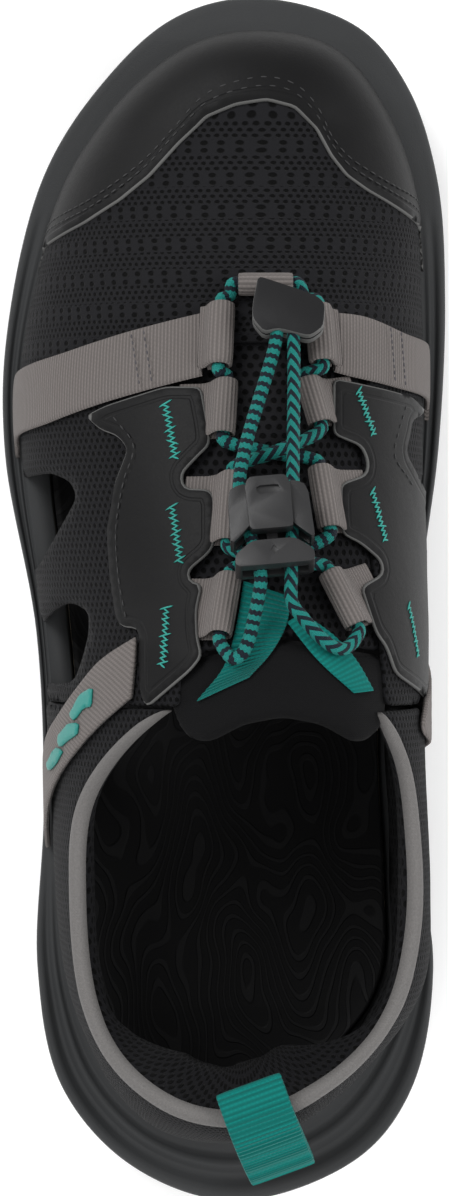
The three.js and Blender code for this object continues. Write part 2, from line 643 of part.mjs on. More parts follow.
const TUNNELS = {
  front: tunnel([15.7, 68.7], [3.4, 68.7], ON_MESH, {}),
  lateral_strap: tunnel([0, 64.4], [0, 50.2], ON_MESH, { ...strapTail, side: -1 }),
  medial_strap: tunnel([20.6, 64], [20.2, 51], ON_MESH, strapTail),
  lateral_front: tunnel([0.9 + ASIDE, 47.4], [0.9 + ASIDE, 35.2], REST, {}),
  lateral_middle: tunnel([2.2 + ASIDE, 26.6], [2.2 + ASIDE, 11.4], REST, {}),
  lateral_rear: tunnel([1.3, 3.8], [1.1, -9.4], REST, { tail: 5.2, side: -1 }),
  medial_front: tunnel([18.4 - ASIDE, 47.8], [20.2 - ASIDE, 37.4], REST, {}),
  medial_middle: tunnel([21.2 - ASIDE, 28], [21.6 - ASIDE, 14], REST, {}),
  medial_rear: tunnel([23, 5], [27, -7.6], REST, { tail: 4.8 }),
};
add('forefoot_strap_lateral', lateralStrap.add(TUNNELS.lateral_strap.solid), 'grey');
add('forefoot_strap_medial', medialStrap.add(TUNNELS.medial_strap.solid), 'grey');
add('front_loop', TUNNELS.front.solid, 'grey');
['front', 'middle', 'rear'].forEach((row) => {
  add(`lace_loop_lateral_${row}`, TUNNELS[`lateral_${row}`].solid, 'grey');
  add(`lace_loop_medial_${row}`, TUNNELS[`medial_${row}`].solid, 'grey');
});

// ---- cord lock: its own frame has u across, v along the cords towards the toe and w up ----
const LOCK_TILT = Math.atan(0.3936 / SY);     // follows the slope of the instep
const LOCK_TURN = 0.094;
const LOCK_RAISE = 2 * CORD + 4.4;     // the lock rides above two crossing cords
const along3 = new THREE.Vector3(-Math.sin(LOCK_TURN), Math.cos(LOCK_TURN) * Math.cos(LOCK_TILT),
  -Math.cos(LOCK_TURN) * Math.sin(LOCK_TILT)).normalize();
const up3 = new THREE.Vector3(0, Math.sin(LOCK_TILT), Math.cos(LOCK_TILT));
up3.addScaledVector(along3, -up3.dot(along3)).normalize();
const across3 = new THREE.Vector3().crossVectors(along3, up3);
const lockCentre = over(10.05 * SX, 15.2 * SY, 0).addScaledVector(up3, LOCK_RAISE);
const lockFrame = new THREE.Matrix4().makeBasis(across3, along3, up3).setPosition(lockCentre);
const inLock = (u, v, w) => new THREE.Vector3(u, v, w).applyMatrix4(lockFrame);
const place = (geometry) => manifoldFrom(geometry.applyMatrix4(lockFrame));
function box(u0, u1, v0, v1, w0, w1) {
  const g = new THREE.BoxGeometry(u1 - u0, v1 - v0, w1 - w0);
  return g.translate((u0 + u1) / 2, (v0 + v1) / 2, (w0 + w1) / 2);
}
function plate(outline, w0, w1, bevel) {
  const g = new THREE.ExtrudeGeometry(outline, {
    depth: w1 - w0 - 2 * bevel,
    bevelEnabled: bevel > 0,
    bevelThickness: bevel,
    bevelSize: bevel,
    bevelOffset: -bevel,
    bevelSegments: 2,
    curveSegments: 4,
  });
  return g.translate(0, 0, w0 + bevel);
}
function roundedPlate(frontHalf, rearHalf, v0, v1, radius) {
  const s = new THREE.Shape();
  s.moveTo(-rearHalf + radius, v0);
  s.lineTo(rearHalf - radius, v0);
  s.quadraticCurveTo(rearHalf, v0, rearHalf, v0 + radius);
  s.lineTo(frontHalf, v1 - radius);
  s.quadraticCurveTo(frontHalf, v1, frontHalf - radius, v1);
  s.lineTo(-frontHalf + radius, v1);
  s.quadraticCurveTo(-frontHalf, v1, -frontHalf, v1 - radius);
  s.lineTo(-rearHalf, v0 + radius);
  s.quadraticCurveTo(-rearHalf, v0, -rearHalf + radius, v0);
  return s;
}
const HALF = LOCK_LENGTH / 2;
const FLOOR = -3.2;
const DUCT = CORD / 2 + 0.35;
const BODY_HALF = LOCK_WIDTH / 2;
const DUCT_HALF = BODY_HALF - 1.1;
const POST = 1.4;
const POST_FRONT = HALF - 0.2;
const POST_REAR = HALF - 2;
// each cord's distance from the middle of the lock, kept clear of the post and of the duct's walls
const LANE_REAR = POST + CORD / 2 + 0.4;
const LANE_FRONT = DUCT_HALF - CORD / 2 - 0.75;
const LANE_MIDDLE = Math.min(LANE_REAR + 0.8, LANE_FRONT);
function buildLockBody() {
  const barrel = place(plate(roundedPlate(BODY_HALF, BODY_HALF - 0.6, -HALF, HALF, 3), FLOOR, 4.2, 0.6));
  const ridgePlate = place(plate(roundedPlate(4.6, 4.3, -HALF, HALF, 1), 0, 5.2, 0.4));
  const duct = place(box(-DUCT_HALF, DUCT_HALF, -20, 20, -DUCT, DUCT));
  const post = place(box(-POST, POST, POST_REAR, POST_FRONT, -DUCT - 0.4, DUCT + 0.4));
  const recess = place(box(-2.4, 2.4, HALF - 4.6, HALF - 2.6, 4.2, 6));
  return barrel.add(ridgePlate).subtract(duct).add(post).subtract(recess);
}
add('cord_lock_body', buildLockBody(), 'plastic');
const HEAD_FRONT = -HALF - PRESS - GAP;
const HEAD_REAR = HEAD_FRONT - 5.8;
const STEM_FRONT = -2;
function buildPlunger() {
  const headHalf = BODY_HALF - 0.6;
  const head = place(plate(roundedPlate(headHalf, headHalf - 0.4, HEAD_REAR, HEAD_FRONT, 2.4),
    FLOOR, 4.6, 0.6));
  const duct = place(box(-DUCT_HALF + 0.9, DUCT_HALF - 0.9, -30, 20, -DUCT, DUCT));
  const wall = place(box(-POST, POST, HEAD_REAR + 1.2, HEAD_FRONT - 0.2, -DUCT - 0.4, DUCT + 0.4));
  const stem = place(box(-POST + 0.2, POST - 0.2, HEAD_FRONT - 1, STEM_FRONT, -1.5, 1.5));
  return head.subtract(duct).add(wall).add(stem);
}
add('cord_lock_plunger', buildPlunger(), 'plastic');

// a curve sampled at its own knots, so that every bend point of a route gets a ring
class Route extends THREE.CatmullRomCurve3 {
  getUtoTmapping(u) {
    return u;
  }
}
function tube(points, radius, sides) {
  const steps = points.length - 1;
  const curve = new Route(points, false, 'centripetal');
  const section = new THREE.Shape();
  for (let i = 0; i < sides; i += 1) {
    const a = (2 * Math.PI * (i + 0.5)) / sides;
    const [x, y] = [radius * Math.cos(a), radius * Math.sin(a)];
    if (i === 0) section.moveTo(x, y);
    else section.lineTo(x, y);
  }
  return new THREE.ExtrudeGeometry(section, { steps, extrudePath: curve, bevelEnabled: false });
}
function buildSpring() {
  const turns = 4;
  const wire = 0.22;
  const radius = 1.05;
  const [from, to] = [STEM_FRONT + GAP + wire, POST_REAR - GAP - wire];
  const points = [];
  for (let i = 0; i <= turns * 8; i += 1) {
    const a = (i * Math.PI) / 4;
    const v = from + ((to - from) * i) / (turns * 8);
    points.push(new THREE.Vector3(radius * Math.cos(a), v, radius * Math.sin(a)));
  }
  return place(tube(points, wire, 5));
}
add('cord_lock_spring', buildSpring(), 'steel');

// ---- elastic cord: one length from tail end to tail end, laced through every loop ----
const TAIL_END = 48.2 * SY;
const TAB_HALF_GAP = CORD / 2 + 0.3;
const TAB_U = 7.7;
const outOf = (x, y, o) => over(x * SX, y * SY, o);
// the cord's way through a tunnel, with a short straight run past each mouth
function through(name) {
  const { front, rear, run } = TUNNELS[name];
  return [
    rear.clone().addScaledVector(run, -1.2), rear.clone().addScaledVector(run, 1),
    front.clone().addScaledVector(run, -1), front.clone().addScaledVector(run, 1.2),
  ];
}
function halfCord({ side, own, other, level, turn, cross }) {
  const tail = TAB_U + side * TAB_HALF_GAP;
  return [
    inLock(tail, TAIL_END, 0),
    inLock(tail, TAIL_END - 6, 0),
    inLock(side * LANE_FRONT, HALF + 0.5, 0),
    inLock(side * LANE_MIDDLE, HEAD_FRONT, 0),
    inLock(side * LANE_REAR, HEAD_REAR - 1, 0),
    ...turn.map((p) => outOf(...p)),
    ...through(`${own}_rear`),
    outOf(...cross, level),
    ...through(`${other}_middle`),
    outOf(11.2, 32, level),
    ...through(`${own}_front`),
    ...through(`${own}_strap`),
  ];
}
const LOW_LEVEL = 1.9;
const HIGH_LEVEL = LOW_LEVEL + CORD + 0.6;
const lateralHalf = halfCord({
  side: -1,
  own: 'lateral',
  other: 'medial',
  level: LOW_LEVEL,
  turn: [[7.4, -1.4, 9], [6.6, -5, 6.6], [5.6, -9, 4.8], [4, -12.2, 3.6], [2.2, -13, 3.1]],
  cross: [11, 8.6],
});
const medialHalf = halfCord({
  side: 1,
  own: 'medial',
  other: 'lateral',
  level: HIGH_LEVEL,
  turn: [[15, -1.2, 9.4], [17.4, -4.4, 7.6], [20.6, -8, 5.6], [24, -10.6, 4], [26.8, -10.8, 3.2]],
  cross: [13, 8],
});
const bow = [outOf(1.4, 67.4, 4.3), ...through('front'), outOf(18.4, 67, 4.3)];
add('bungee_cord', manifoldFrom(
  tube([...lateralHalf, ...bow, ...medialHalf.reverse()], CORD / 2, 8),
), 'teal');

// ---- end tab: a folded patch that holds both cord ends ----
function buildEndTab() {
  const outline = new THREE.Shape([
    [-4.8, 7.3], [2.4, 3.9], [7.6, 1.3], [9.4, -0.9], [8.4, -6.5], [5.2, -8.5], [-1.6, -5.9],
    [-4.8, -6.5], [-7, -2.9], [-6.6, 0.5], [-5.2, 5.5],
  ].map(([u, v]) => new THREE.Vector2(TAB_U + u, TAIL_END + v)));
  const patch = place(plate(outline, -2.6, 2.6, 0.5));
  const pocketHalf = TAB_HALF_GAP + CORD / 2 + 0.6;
  const [left, right] = [TAB_U - pocketHalf, TAB_U + pocketHalf];
  const pocket = place(box(left, right, TAIL_END - 15, TAIL_END + 0.6, -DUCT, DUCT));
  return patch.subtract(pocket);
}
add('cord_end_tab', buildEndTab(), 'film');

// ---- heel pull tab: a flattened loop of webbing that falls back over the heel ----
const TAB_TURN = 0.35;
const tabRoot = new THREE.Vector3(6 * SX, -107.5 * SY, 0);
function buildPullTab() {
  const heel = stationAt(HEEL, -Math.PI / 2);
  const top = onLast(heel, bindingHigh(heel), 0).z + 4 * GAP;
  const outer = [[-0.07, 0.4], [-0.07, 2.6], [0.11, 3.6], [0.33, 3.2], [0.59, -1.6], [0.81, -9.6],
    [0.96, -17], [0.95, -20.6], [0.85, -21], [0.67, -14], [0.46, -6], [0.32, 0.2], [0.15, 0.5]];
  const inner = [[0.33, 1.9], [0.57, -2.6], [0.78, -10], [0.9, -17.4], [0.87, -19], [0.7, -12.4],
    [0.5, -5], [0.36, 1]];
  const away = new THREE.Vector3(Math.sin(TAB_TURN), -Math.cos(TAB_TURN), 0);
  const up = new THREE.Vector3(0, 0, 1);
  const frame = new THREE.Matrix4().makeBasis(away, up, new THREE.Vector3().crossVectors(away, up));
  frame.setPosition(tabRoot.x, tabRoot.y, top);
  const slab = (profile, width) => {
    const points = profile.map(([r, h]) => new THREE.Vector2(r * PULL_TAB_LENGTH, h));
    const shape = new THREE.Shape(closedCurve(points, 30));
    const solid = new THREE.ExtrudeGeometry(shape, { depth: width, bevelEnabled: false });
    return manifoldFrom(solid.translate(0, 0, -width / 2).applyMatrix4(frame));
  };
  return slab(outer, PULL_TAB_WIDTH).subtract(slab(inner, PULL_TAB_WIDTH + 4));
}
add('heel_pull_tab', buildPullTab(), 'teal');

export default part;
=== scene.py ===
# %% [markdown]
# # A closed-toe sport sandal with a bungee lace
#
# The sandal is a moulded sole, a foot-shaped upper of mesh and smooth film, woven straps, and one
# elastic cord that runs through webbing loops to a sliding lock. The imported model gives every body
# and every size. Each soft piece is made again here on the same foot-shaped surface, in finer detail.

# %% Load the frame
import math

import bmesh
import bpy
import numpy as np
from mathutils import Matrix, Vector
from mathutils.geometry import delaunay_2d_cdt


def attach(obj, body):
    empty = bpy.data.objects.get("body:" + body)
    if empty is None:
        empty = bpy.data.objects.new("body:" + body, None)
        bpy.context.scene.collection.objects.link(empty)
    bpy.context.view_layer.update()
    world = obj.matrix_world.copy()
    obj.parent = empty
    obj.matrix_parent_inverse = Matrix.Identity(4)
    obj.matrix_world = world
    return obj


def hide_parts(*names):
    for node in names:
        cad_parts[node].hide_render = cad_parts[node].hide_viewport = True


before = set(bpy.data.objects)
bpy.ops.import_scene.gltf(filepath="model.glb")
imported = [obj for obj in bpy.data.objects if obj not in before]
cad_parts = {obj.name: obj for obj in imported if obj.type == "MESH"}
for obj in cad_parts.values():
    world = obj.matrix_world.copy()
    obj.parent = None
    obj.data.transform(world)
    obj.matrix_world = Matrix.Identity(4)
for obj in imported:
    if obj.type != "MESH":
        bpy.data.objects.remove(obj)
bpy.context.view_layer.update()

MM = 0.001

# %% [markdown]
# ## Camera, floor and light
#
# The sandal is seen from straight above, toe up, from about a metre away. A long lens at that distance
# shows the tall parts slightly larger than the sole. The floor is plain and pale, and large soft lamps
# stand in for a studio tent, so that the dark cloth still shows its weave.

# %% Camera, floor and lights
scene = bpy.context.scene
CAMERA_HEIGHT = 1.0
FRAME_HEIGHT = 0.28715        # ground that the long side of the view covers
CAMERA_X = 0.00036
SKY_STRENGTH = 0.62
SENSOR = 36.0


def add_camera():
    data = bpy.data.cameras.new("camera_above")
    data.sensor_width = SENSOR
    data.lens = SENSOR * CAMERA_HEIGHT / FRAME_HEIGHT
    camera = bpy.data.objects.new("camera_above", data)
    camera.location = (CAMERA_X, 0.0, CAMERA_HEIGHT)
    scene.collection.objects.link(camera)
    scene.camera = camera
    return camera


def add_lamp(name, place, size, power, colour=(1, 1, 1)):
    data = bpy.data.lights.new(name, "AREA")
    data.shape = "DISK"
    data.size = size
    data.energy = power
    data.color = colour
    lamp = bpy.data.objects.new(name, data)
    lamp.location = place
    direction = Vector((0, 0, 0.05)) - Vector(place)
    lamp.rotation_euler = direction.to_track_quat("-Z", "Y").to_euler()
    scene.collection.objects.link(lamp)


add_camera()
add_lamp("lamp_toe_left", (-0.75, 0.85, 1.1), 0.9, 15.0)
add_lamp("lamp_right", (1.0, 0.15, 0.85), 0.8, 8.0)
add_lamp("lamp_heel", (-0.2, -1.1, 0.9), 0.9, 7.0)
world = bpy.data.worlds.new("studio")
world.use_nodes = True
world.node_tree.nodes["Background"].inputs["Color"].default_value = (1, 1, 1, 1)
world.node_tree.nodes["Background"].inputs["Strength"].default_value = SKY_STRENGTH
scene.world = world
scene.view_settings.view_transform = "Standard"
print("camera", tuple(round(v, 4) for v in scene.camera.location))

# %% [markdown]
# ## The foot-shaped surface
#
# A shoe is pulled over a last, a solid shaped like a foot. All layers of the upper follow it, one above
# the other. The last is written here as a rule: a point is named by where its spoke leaves the ridge of
# the foot and by how far round the spoke it is, from the sole's edge to the ridge. Numbers in this part
# are millimetres. Moving a point out by an offset gives the inside or the outside of a layer.

# %% Smooth runs and closed outlines
def smooth_run(stations):
    """A smooth curve through (y, value) pairs that never swings past them."""
    y = np.array([s[0] for s in stations][::-1], float)
    v = np.array([s[1] for s in stations][::-1], float)
    rise = np.diff(v) / np.diff(y)
    before, after = rise[:-1], rise[1:]
    flat = before * after <= 0
    between = 2 * before * after / np.where(flat, 1.0, before + after)
    slope = np.concatenate([rise[:1], np.where(flat, 0.0, between), rise[-1:]])

    def at(q):
        q = np.clip(q, y[0], y[-1])
        k = np.clip(np.searchsorted(y, q) - 1, 0, len(y) - 2)
        h = y[k + 1] - y[k]
        t = (q - y[k]) / h
        a = (1 + 2 * t) * (1 - t) ** 2 * v[k] + t * (1 - t) ** 2 * h * slope[k]
        return a + t * t * (3 - 2 * t) * v[k + 1] + t * t * (t - 1) * h * slope[k + 1]

    return at


def spline(points, closed=True, per=12):
    """Points on a smooth curve through the given ones, with even tension however they are spaced."""
    p = np.array(points, float)
    n = len(p)
    out = []
    for i in range(n if closed else n - 1):
        ids = [i - 1, i, i + 1, i + 2]
        if closed:
            a, b, c, d = (p[k % n] for k in ids)
        else:
            b, c = p[i], p[i + 1]
            a = p[i - 1] if i > 0 else 2 * b - c
            d = p[i + 2] if i + 2 < n else 2 * c - b
        g = [max(np.linalg.norm(v - u), 1e-6) ** 0.5 for u, v in ((a, b), (b, c), (c, d))]
        m1 = ((b - a) / g[0] - (c - a) / (g[0] + g[1]) + (c - b) / g[1]) * g[1]
        m2 = ((c - b) / g[1] - (d - b) / (g[1] + g[2]) + (d - c) / g[2]) * g[1]
        t = (np.arange(per) / per)[:, None]
        out.append(b + m1 * t + (3 * (c - b) - 2 * m1 - m2) * t**2 + (2 * (b - c) + m1 + m2) * t**3)
    if not closed:
        out.append(p[-1:])
    return np.vstack(out)


SOLE = spline([
    (7.5, 140), (31, 133.5), (43, 119.5), (50, 98.5), (52, 70), (50.4, 35), (46.5, 5), (44, -30),
    (45.5, -60), (48.8, -86), (44, -113.5), (31.5, -130), (3, -140), (-21, -132), (-37.4, -113.5),
    (-43, -86), (-41.6, -50), (-43.5, -8), (-51, 34), (-50.6, 62), (-42, 98.5), (-28.7, 119.5),
    (-11, 135.5)])
FEATHER = spline([
    (9, 129.3), (25, 125.5), (37, 111), (43, 93), (45.4, 62), (45, 28), (43, 0), (41.5, -35),
    (42.8, -65), (42, -87), (33, -103), (18, -118), (3, -122.5), (-12, -120.5), (-24, -110.5),
    (-33, -93), (-37.5, -65), (-39, -32), (-41.4, -4), (-45.2, 26), (-46, 52), (-40.4, 80),
    (-33, 100), (-21, 116), (-6, 126.7)])
COLLAR = spline([
    (13, -24), (30, -22), (38.5, -34), (42, -55), (41.5, -75), (36.5, -92), (24, -106),
    (6, -113.5), (-10, -111.5), (-23, -102.5), (-29.5, -90), (-32.2, -66), (-30.5, -46),
    (-20.5, -31), (-8, -23)])
GAP = 0.3                            # clearance between neighbouring layers
MESH_IN, MESH_OUT = 0.0, 1.2         # offsets of the mesh from the last
FILM_IN, FILM_OUT = MESH_OUT + GAP, 2.5
TOE, HEEL = np.array([9.0, 108.0]), np.array([4.0, -95.0])
ridge_x = smooth_run([(108, 9), (72, 10), (40, 12.5), (0, 14.5), (-20, 14), (-65, 5), (-95, 4)])
ridge_z = smooth_run([
    (108, 50), (88, 57), (70, 65), (48, 73), (20, 84), (0, 92), (-13, 99), (-27, 102), (-65, 104),
    (-95, 98)])
feather_z = smooth_run([(130, 30), (95, 26), (60, 24), (20, 25), (-20, 28), (-60, 33), (-95, 36)])
roundness = smooth_run([(120, 0.85), (90, 0.88), (50, 0.97), (0, 1), (-40, 0.95), (-95, 0.75)])
inner_bulge = smooth_run([(45, 0), (15, 3), (-10, 5.8), (-60, 7.4), (-95, 4), (-112, 0)])
ground_rise = smooth_run([(140, 10), (125, 6.2), (105, 2.5), (80, 0.4), (60, 0), (-118, 0), (-140, 3)])

print("footprint", np.ptp(SOLE, axis=0).round(1).tolist(), "mm")


# %% [markdown]
# ### Spokes and the flat pattern
#
# A shoemaker cuts flat patterns and pulls them over the last. The same is done here: a point on the plan
# is carried to a flat pattern in which lengths down the wall are kept, and from there it is draped on the
# surface. A projection straight down would be simpler, but it would stretch every weave on the steep
# walls.

# %% Spokes from the ridge to an outline
def spoke_lengths(ring):
    """How far it is from the ridge to a closed outline, along any spoke."""
    ring = np.roll(ring, -int(np.argmax(ring[:, 1])), axis=0)
    low = int(np.argmin(ring[:, 1]))
    right, left = ring[: low + 1][::-1], np.vstack([ring[low:], ring[:1]])
    tables = []
    for centre, sign in ((TOE, 1), (HEEL, -1)):
        rel = (ring - centre) * (1, sign)
        rel = rel[rel[:, 1] > -20]
        angle = np.arctan2(rel[:, 1], rel[:, 0])
        angle = np.where(angle < -np.pi / 2, angle + 2 * np.pi, angle)
        order = np.argsort(angle)
        tables.append((angle[order], np.hypot(*rel.T)[order]))

    def length(cx, cy, ux, uy):
        spine = np.where(ux >= 0, np.interp(cy, right[:, 1], right[:, 0]) - cx,
                         cx - np.interp(cy, left[:, 1], left[:, 0]))
        toe = np.interp(np.arctan2(uy, ux), *tables[0])
        heel = np.interp(np.arctan2(-uy, ux), *tables[1])
        return np.where(uy > 1e-9, toe, np.where(uy < -1e-9, heel, spine))

    return length


to_sole, to_feather = spoke_lengths(SOLE), spoke_lengths(FEATHER)


LOWEST_ANGLE, HALVINGS = 0.15, 34


class Spokes:
    """The spokes that pass over given plan points, and the last's section on each."""

    def __init__(self, places):
        x, y = np.asarray(places, float).reshape(-1, 2).T
        inside = np.clip(y, HEEL[1], TOE[1])
        self.cx = np.where(y > TOE[1], TOE[0], np.where(y < HEEL[1], HEEL[0], ridge_x(inside)))
        self.cy = inside
        dx, dy = x - self.cx, y - self.cy
        self.far = np.hypot(dx, dy)
        some = self.far > 1e-9
        self.ux = np.where(some, dx / np.maximum(self.far, 1e-9), 1.0)
        self.uy = np.where(some, dy / np.maximum(self.far, 1e-9), 0.0)
        self.edge = to_feather(self.cx, self.cy, self.ux, self.uy)
        edge_y = self.cy + self.uy * self.edge
        self.foot = feather_z(edge_y) + GAP
        self.top = ridge_z(self.cy)
        self.power = roundness(edge_y)
        self.bulge = np.where(self.ux > 0, inner_bulge(edge_y) * np.abs(self.ux), 0.0)
        self.arc = np.pi / 2 * np.sqrt((self.edge**2 + (self.top - self.foot) ** 2) / 2)

    def at(self, far):
        """Plan or pattern points at a distance along each spoke."""
        return np.column_stack([self.cx + self.ux * far, self.cy + self.uy * far])

    def out(self, phi, offset=0.0):
        """How far from the ridge the surface is at an angle round the section."""
        cos = np.maximum(np.cos(phi), 0.0)
        return (self.edge + offset) * cos**self.power + self.bulge * np.sin(2 * phi)

    def point(self, phi, offset=0.0):
        out = self.out(phi, offset)
        rise = np.maximum(np.sin(phi), 0.0) ** self.power
        z = self.foot + (self.top + offset - self.foot) * rise
        return np.column_stack([self.cx + self.ux * out, self.cy + self.uy * out, z])

    def phi_over(self, far):
        """The angle at which the surface passes over a plan distance, found by halving."""
        low, high = np.full_like(far, LOWEST_ANGLE), np.full_like(far, np.pi / 2)
        beyond = far > self.out(low)
        for _ in range(HALVINGS):
            mid = (low + high) / 2
            past = self.out(mid) > far
            low, high = np.where(past, mid, low), np.where(past, high, mid)
        return np.where(beyond, 0.0, low)


print("the upper is", round(float(Spokes([(50, 0)]).edge[0]), 1), "mm wide from its ridge at the instep")

# %% [markdown]
# ### From plan to pattern to surface
#
# Three small rules do the pulling: unroll takes plan points to the pattern, unroll_side does so for
# outlines that are drawn on a side wall, and drape puts pattern points on the surface at any offset. The
# print shows how high the instep stands.

# %% Flat pattern and drape
def unroll(places, reach=1.0):
    """Plan points to the flat pattern, in which distances along the wall are kept."""
    s = Spokes(places)
    phi = s.phi_over(s.far)
    return s.at(s.arc * np.where(phi > 0, 1 - 2 * phi / np.pi, reach))


def drape(pattern, offset=0.0):
    """Points of the flat pattern to the surface, moved out by an offset."""
    s = Spokes(pattern)
    phi = np.clip((1 - s.far / s.arc) * np.pi / 2, 0.0, np.pi / 2)
    return s.point(phi, offset)


def unroll_side(points, side=1.0, reach=1.05):
    """Side-view points (y, height) of the inner or outer wall to the flat pattern."""
    y, z = np.array(points, float).T
    s = Spokes(np.column_stack([ridge_x(y) + side, y]))
    share = (z - s.foot) / (s.top - s.foot)
    phi = np.arcsin(np.clip(share, 0, 1) ** (1 / s.power))
    return s.at(s.arc * np.where(share > 0, 1 - 2 * phi / np.pi, reach))


def over(x, y, rise=0.0):
    """The point of the surface over a plan point, raised by an upright distance."""
    return drape(unroll([(x, y)]))[0] + (0, 0, rise)


print("instep over the ground", round(float(over(14.5, 0)[2]), 1), "mm")


# %% [markdown]
# ## Mesh helpers
#
# Three kinds of sheet make nearly every soft piece. A cut piece has any outline and is triangulated in
# its flat pattern before it is draped, so the triangles stay even on the steep walls. A band lies between
# two edge lines and keeps straight rows for its weave. A strip follows a path in space, for webbing that
# leaves the surface. All are closed, with rounded edges, and carry a UV map in millimetres.

# %% Build a mesh object
def make_object(name, verts, faces, finishes, uv=None, slots=None, smooth=True, rim=None):
    mesh = bpy.data.meshes.new(name)
    mesh.from_pydata((np.asarray(verts) * MM).tolist(), [], faces)
    for finish in finishes:
        mesh.materials.append(finish)
    if slots is not None:
        mesh.polygons.foreach_set("material_index", np.asarray(slots, np.int32))
    if uv is not None:
        layer = mesh.uv_layers.new(name="UVMap")
        index = np.empty(len(mesh.loops), np.int32)
        mesh.loops.foreach_get("vertex_index", index)
        layer.data.foreach_set("uv", (np.asarray(uv)[index]).astype(np.float32).ravel())
    if rim is not None:
        mesh.attributes.new("rim", "FLOAT", "POINT").data.foreach_set("value", np.asarray(rim, np.float32))
    mesh.polygons.foreach_set("use_smooth", np.full(len(mesh.polygons), smooth))
    mesh.validate()
    mesh.update()
    obj = bpy.data.objects.new(name, mesh)
    scene.collection.objects.link(obj)
    return obj


def grid_faces(rows, columns, start=0, closed=False, flip=False):
    """Quads between rows of points. The columns join up if closed."""
    faces = []
    for r in range(rows - 1):
        for c in range(columns if closed else columns - 1):
            k = (c + 1) % columns
            quad = (start + r * columns + c, start + r * columns + k,
                    start + (r + 1) * columns + k, start + (r + 1) * columns + c)
            faces.append(quad[::-1] if flip else quad)
    return faces


print("quads in a 3 by 4 grid", len(grid_faces(3, 4)))

# %% [markdown]
# ### Outlines
#
# A cut edge has eased corners and even points along it. These helpers round corners, space points evenly,
# and tell how far a point is from an outline or whether it lies inside it. They work on arrays, because a
# piece can have some ten thousand points.

# %% Outline tools
ROW_STEP = 0.87                      # rows of a triangle grid, as a share of its spacing
MERGE = 0.25


def round_corners(points, radius):
    """A closed outline with each corner eased by about that radius, in steps of about a millimetre."""
    p = np.array(points, float)
    out = []
    for a, b, c in zip(np.roll(p, 1, 0), p, np.roll(p, -1, 0)):
        before, after = np.linalg.norm(a - b), np.linalg.norm(c - b)
        start = b + (a - b) * min(radius, before * 0.48) / before
        end = b + (c - b) * min(radius, after * 0.48) / after
        t = np.linspace(0, 1, 7)[:, None]
        out.append((1 - t) ** 2 * start + 2 * t * (1 - t) * b + t * t * end)
    return resample(np.vstack(out), 1.0, closed=True)


def lengths_along(points):
    """The length of a line of points up to each of them."""
    return np.r_[0, np.cumsum(np.linalg.norm(np.diff(points, axis=0), axis=1))]


def resample(points, step, closed=False):
    """The same line with even steps of about that length."""
    p = np.array(points, float)
    if closed:
        p = np.vstack([p, p[:1]])
    length = lengths_along(p)
    count = max(int(round(length[-1] / step)), 3)
    at = np.linspace(0, length[-1], count + 1)
    new = np.column_stack([np.interp(at, length, p[:, k]) for k in range(p.shape[1])])
    return new[:-1] if closed else new


def distance_to(points, loops):
    """How far each point is from the nearest of some closed outlines."""
    best = np.full(len(points), 1e9)
    for loop in loops:
        a, b = loop, np.roll(loop, -1, 0)
        d = b - a
        size = np.maximum((d**2).sum(1), 1e-12)
        for s in range(0, len(points), 4000):
            q = points[s:s + 4000, None, :]
            t = np.clip(((q - a) * d).sum(2) / size, 0, 1)
            gap = np.linalg.norm(q - (a + t[..., None] * d), axis=2).min(1)
            best[s:s + 4000] = np.minimum(best[s:s + 4000], gap)
    return best


def inside(points, loop):
    """Which points lie inside a closed outline."""
    x, y = points[:, 0][:, None], points[:, 1][:, None]
    a, b = loop, np.roll(loop, -1, 0)
    crosses = (a[:, 1] > y) != (b[:, 1] > y)
    with np.errstate(divide="ignore", invalid="ignore"):
        at = a[:, 0] + (y - a[:, 1]) * (b[:, 0] - a[:, 0]) / (b[:, 1] - a[:, 1])
    return (crosses & (x < at)).sum(1) % 2 == 1


def tidy_loop(loop):
    """A closed outline without points that nearly coincide."""
    keep = [loop[0]]
    for p in loop[1:]:
        if np.linalg.norm(p - keep[-1]) > MERGE:
            keep.append(p)
    if np.linalg.norm(keep[0] - keep[-1]) < MERGE:
        keep.pop()
    return np.array(keep)


print("a rounded square has", len(round_corners([(0, 0), (9, 0), (9, 9), (0, 9)], 2)), "points")

# %% [markdown]
# ### Pieces cut from sheet
#
# Mesh, film and padded panels are die cut. The outline and the holes are triangulated together with a
# grid of points inside them, because a plain subdivided face would give long thin triangles. The sheet
# then gets a second side, walls between the two, and a small drop at its edge like a cut and pressed one.

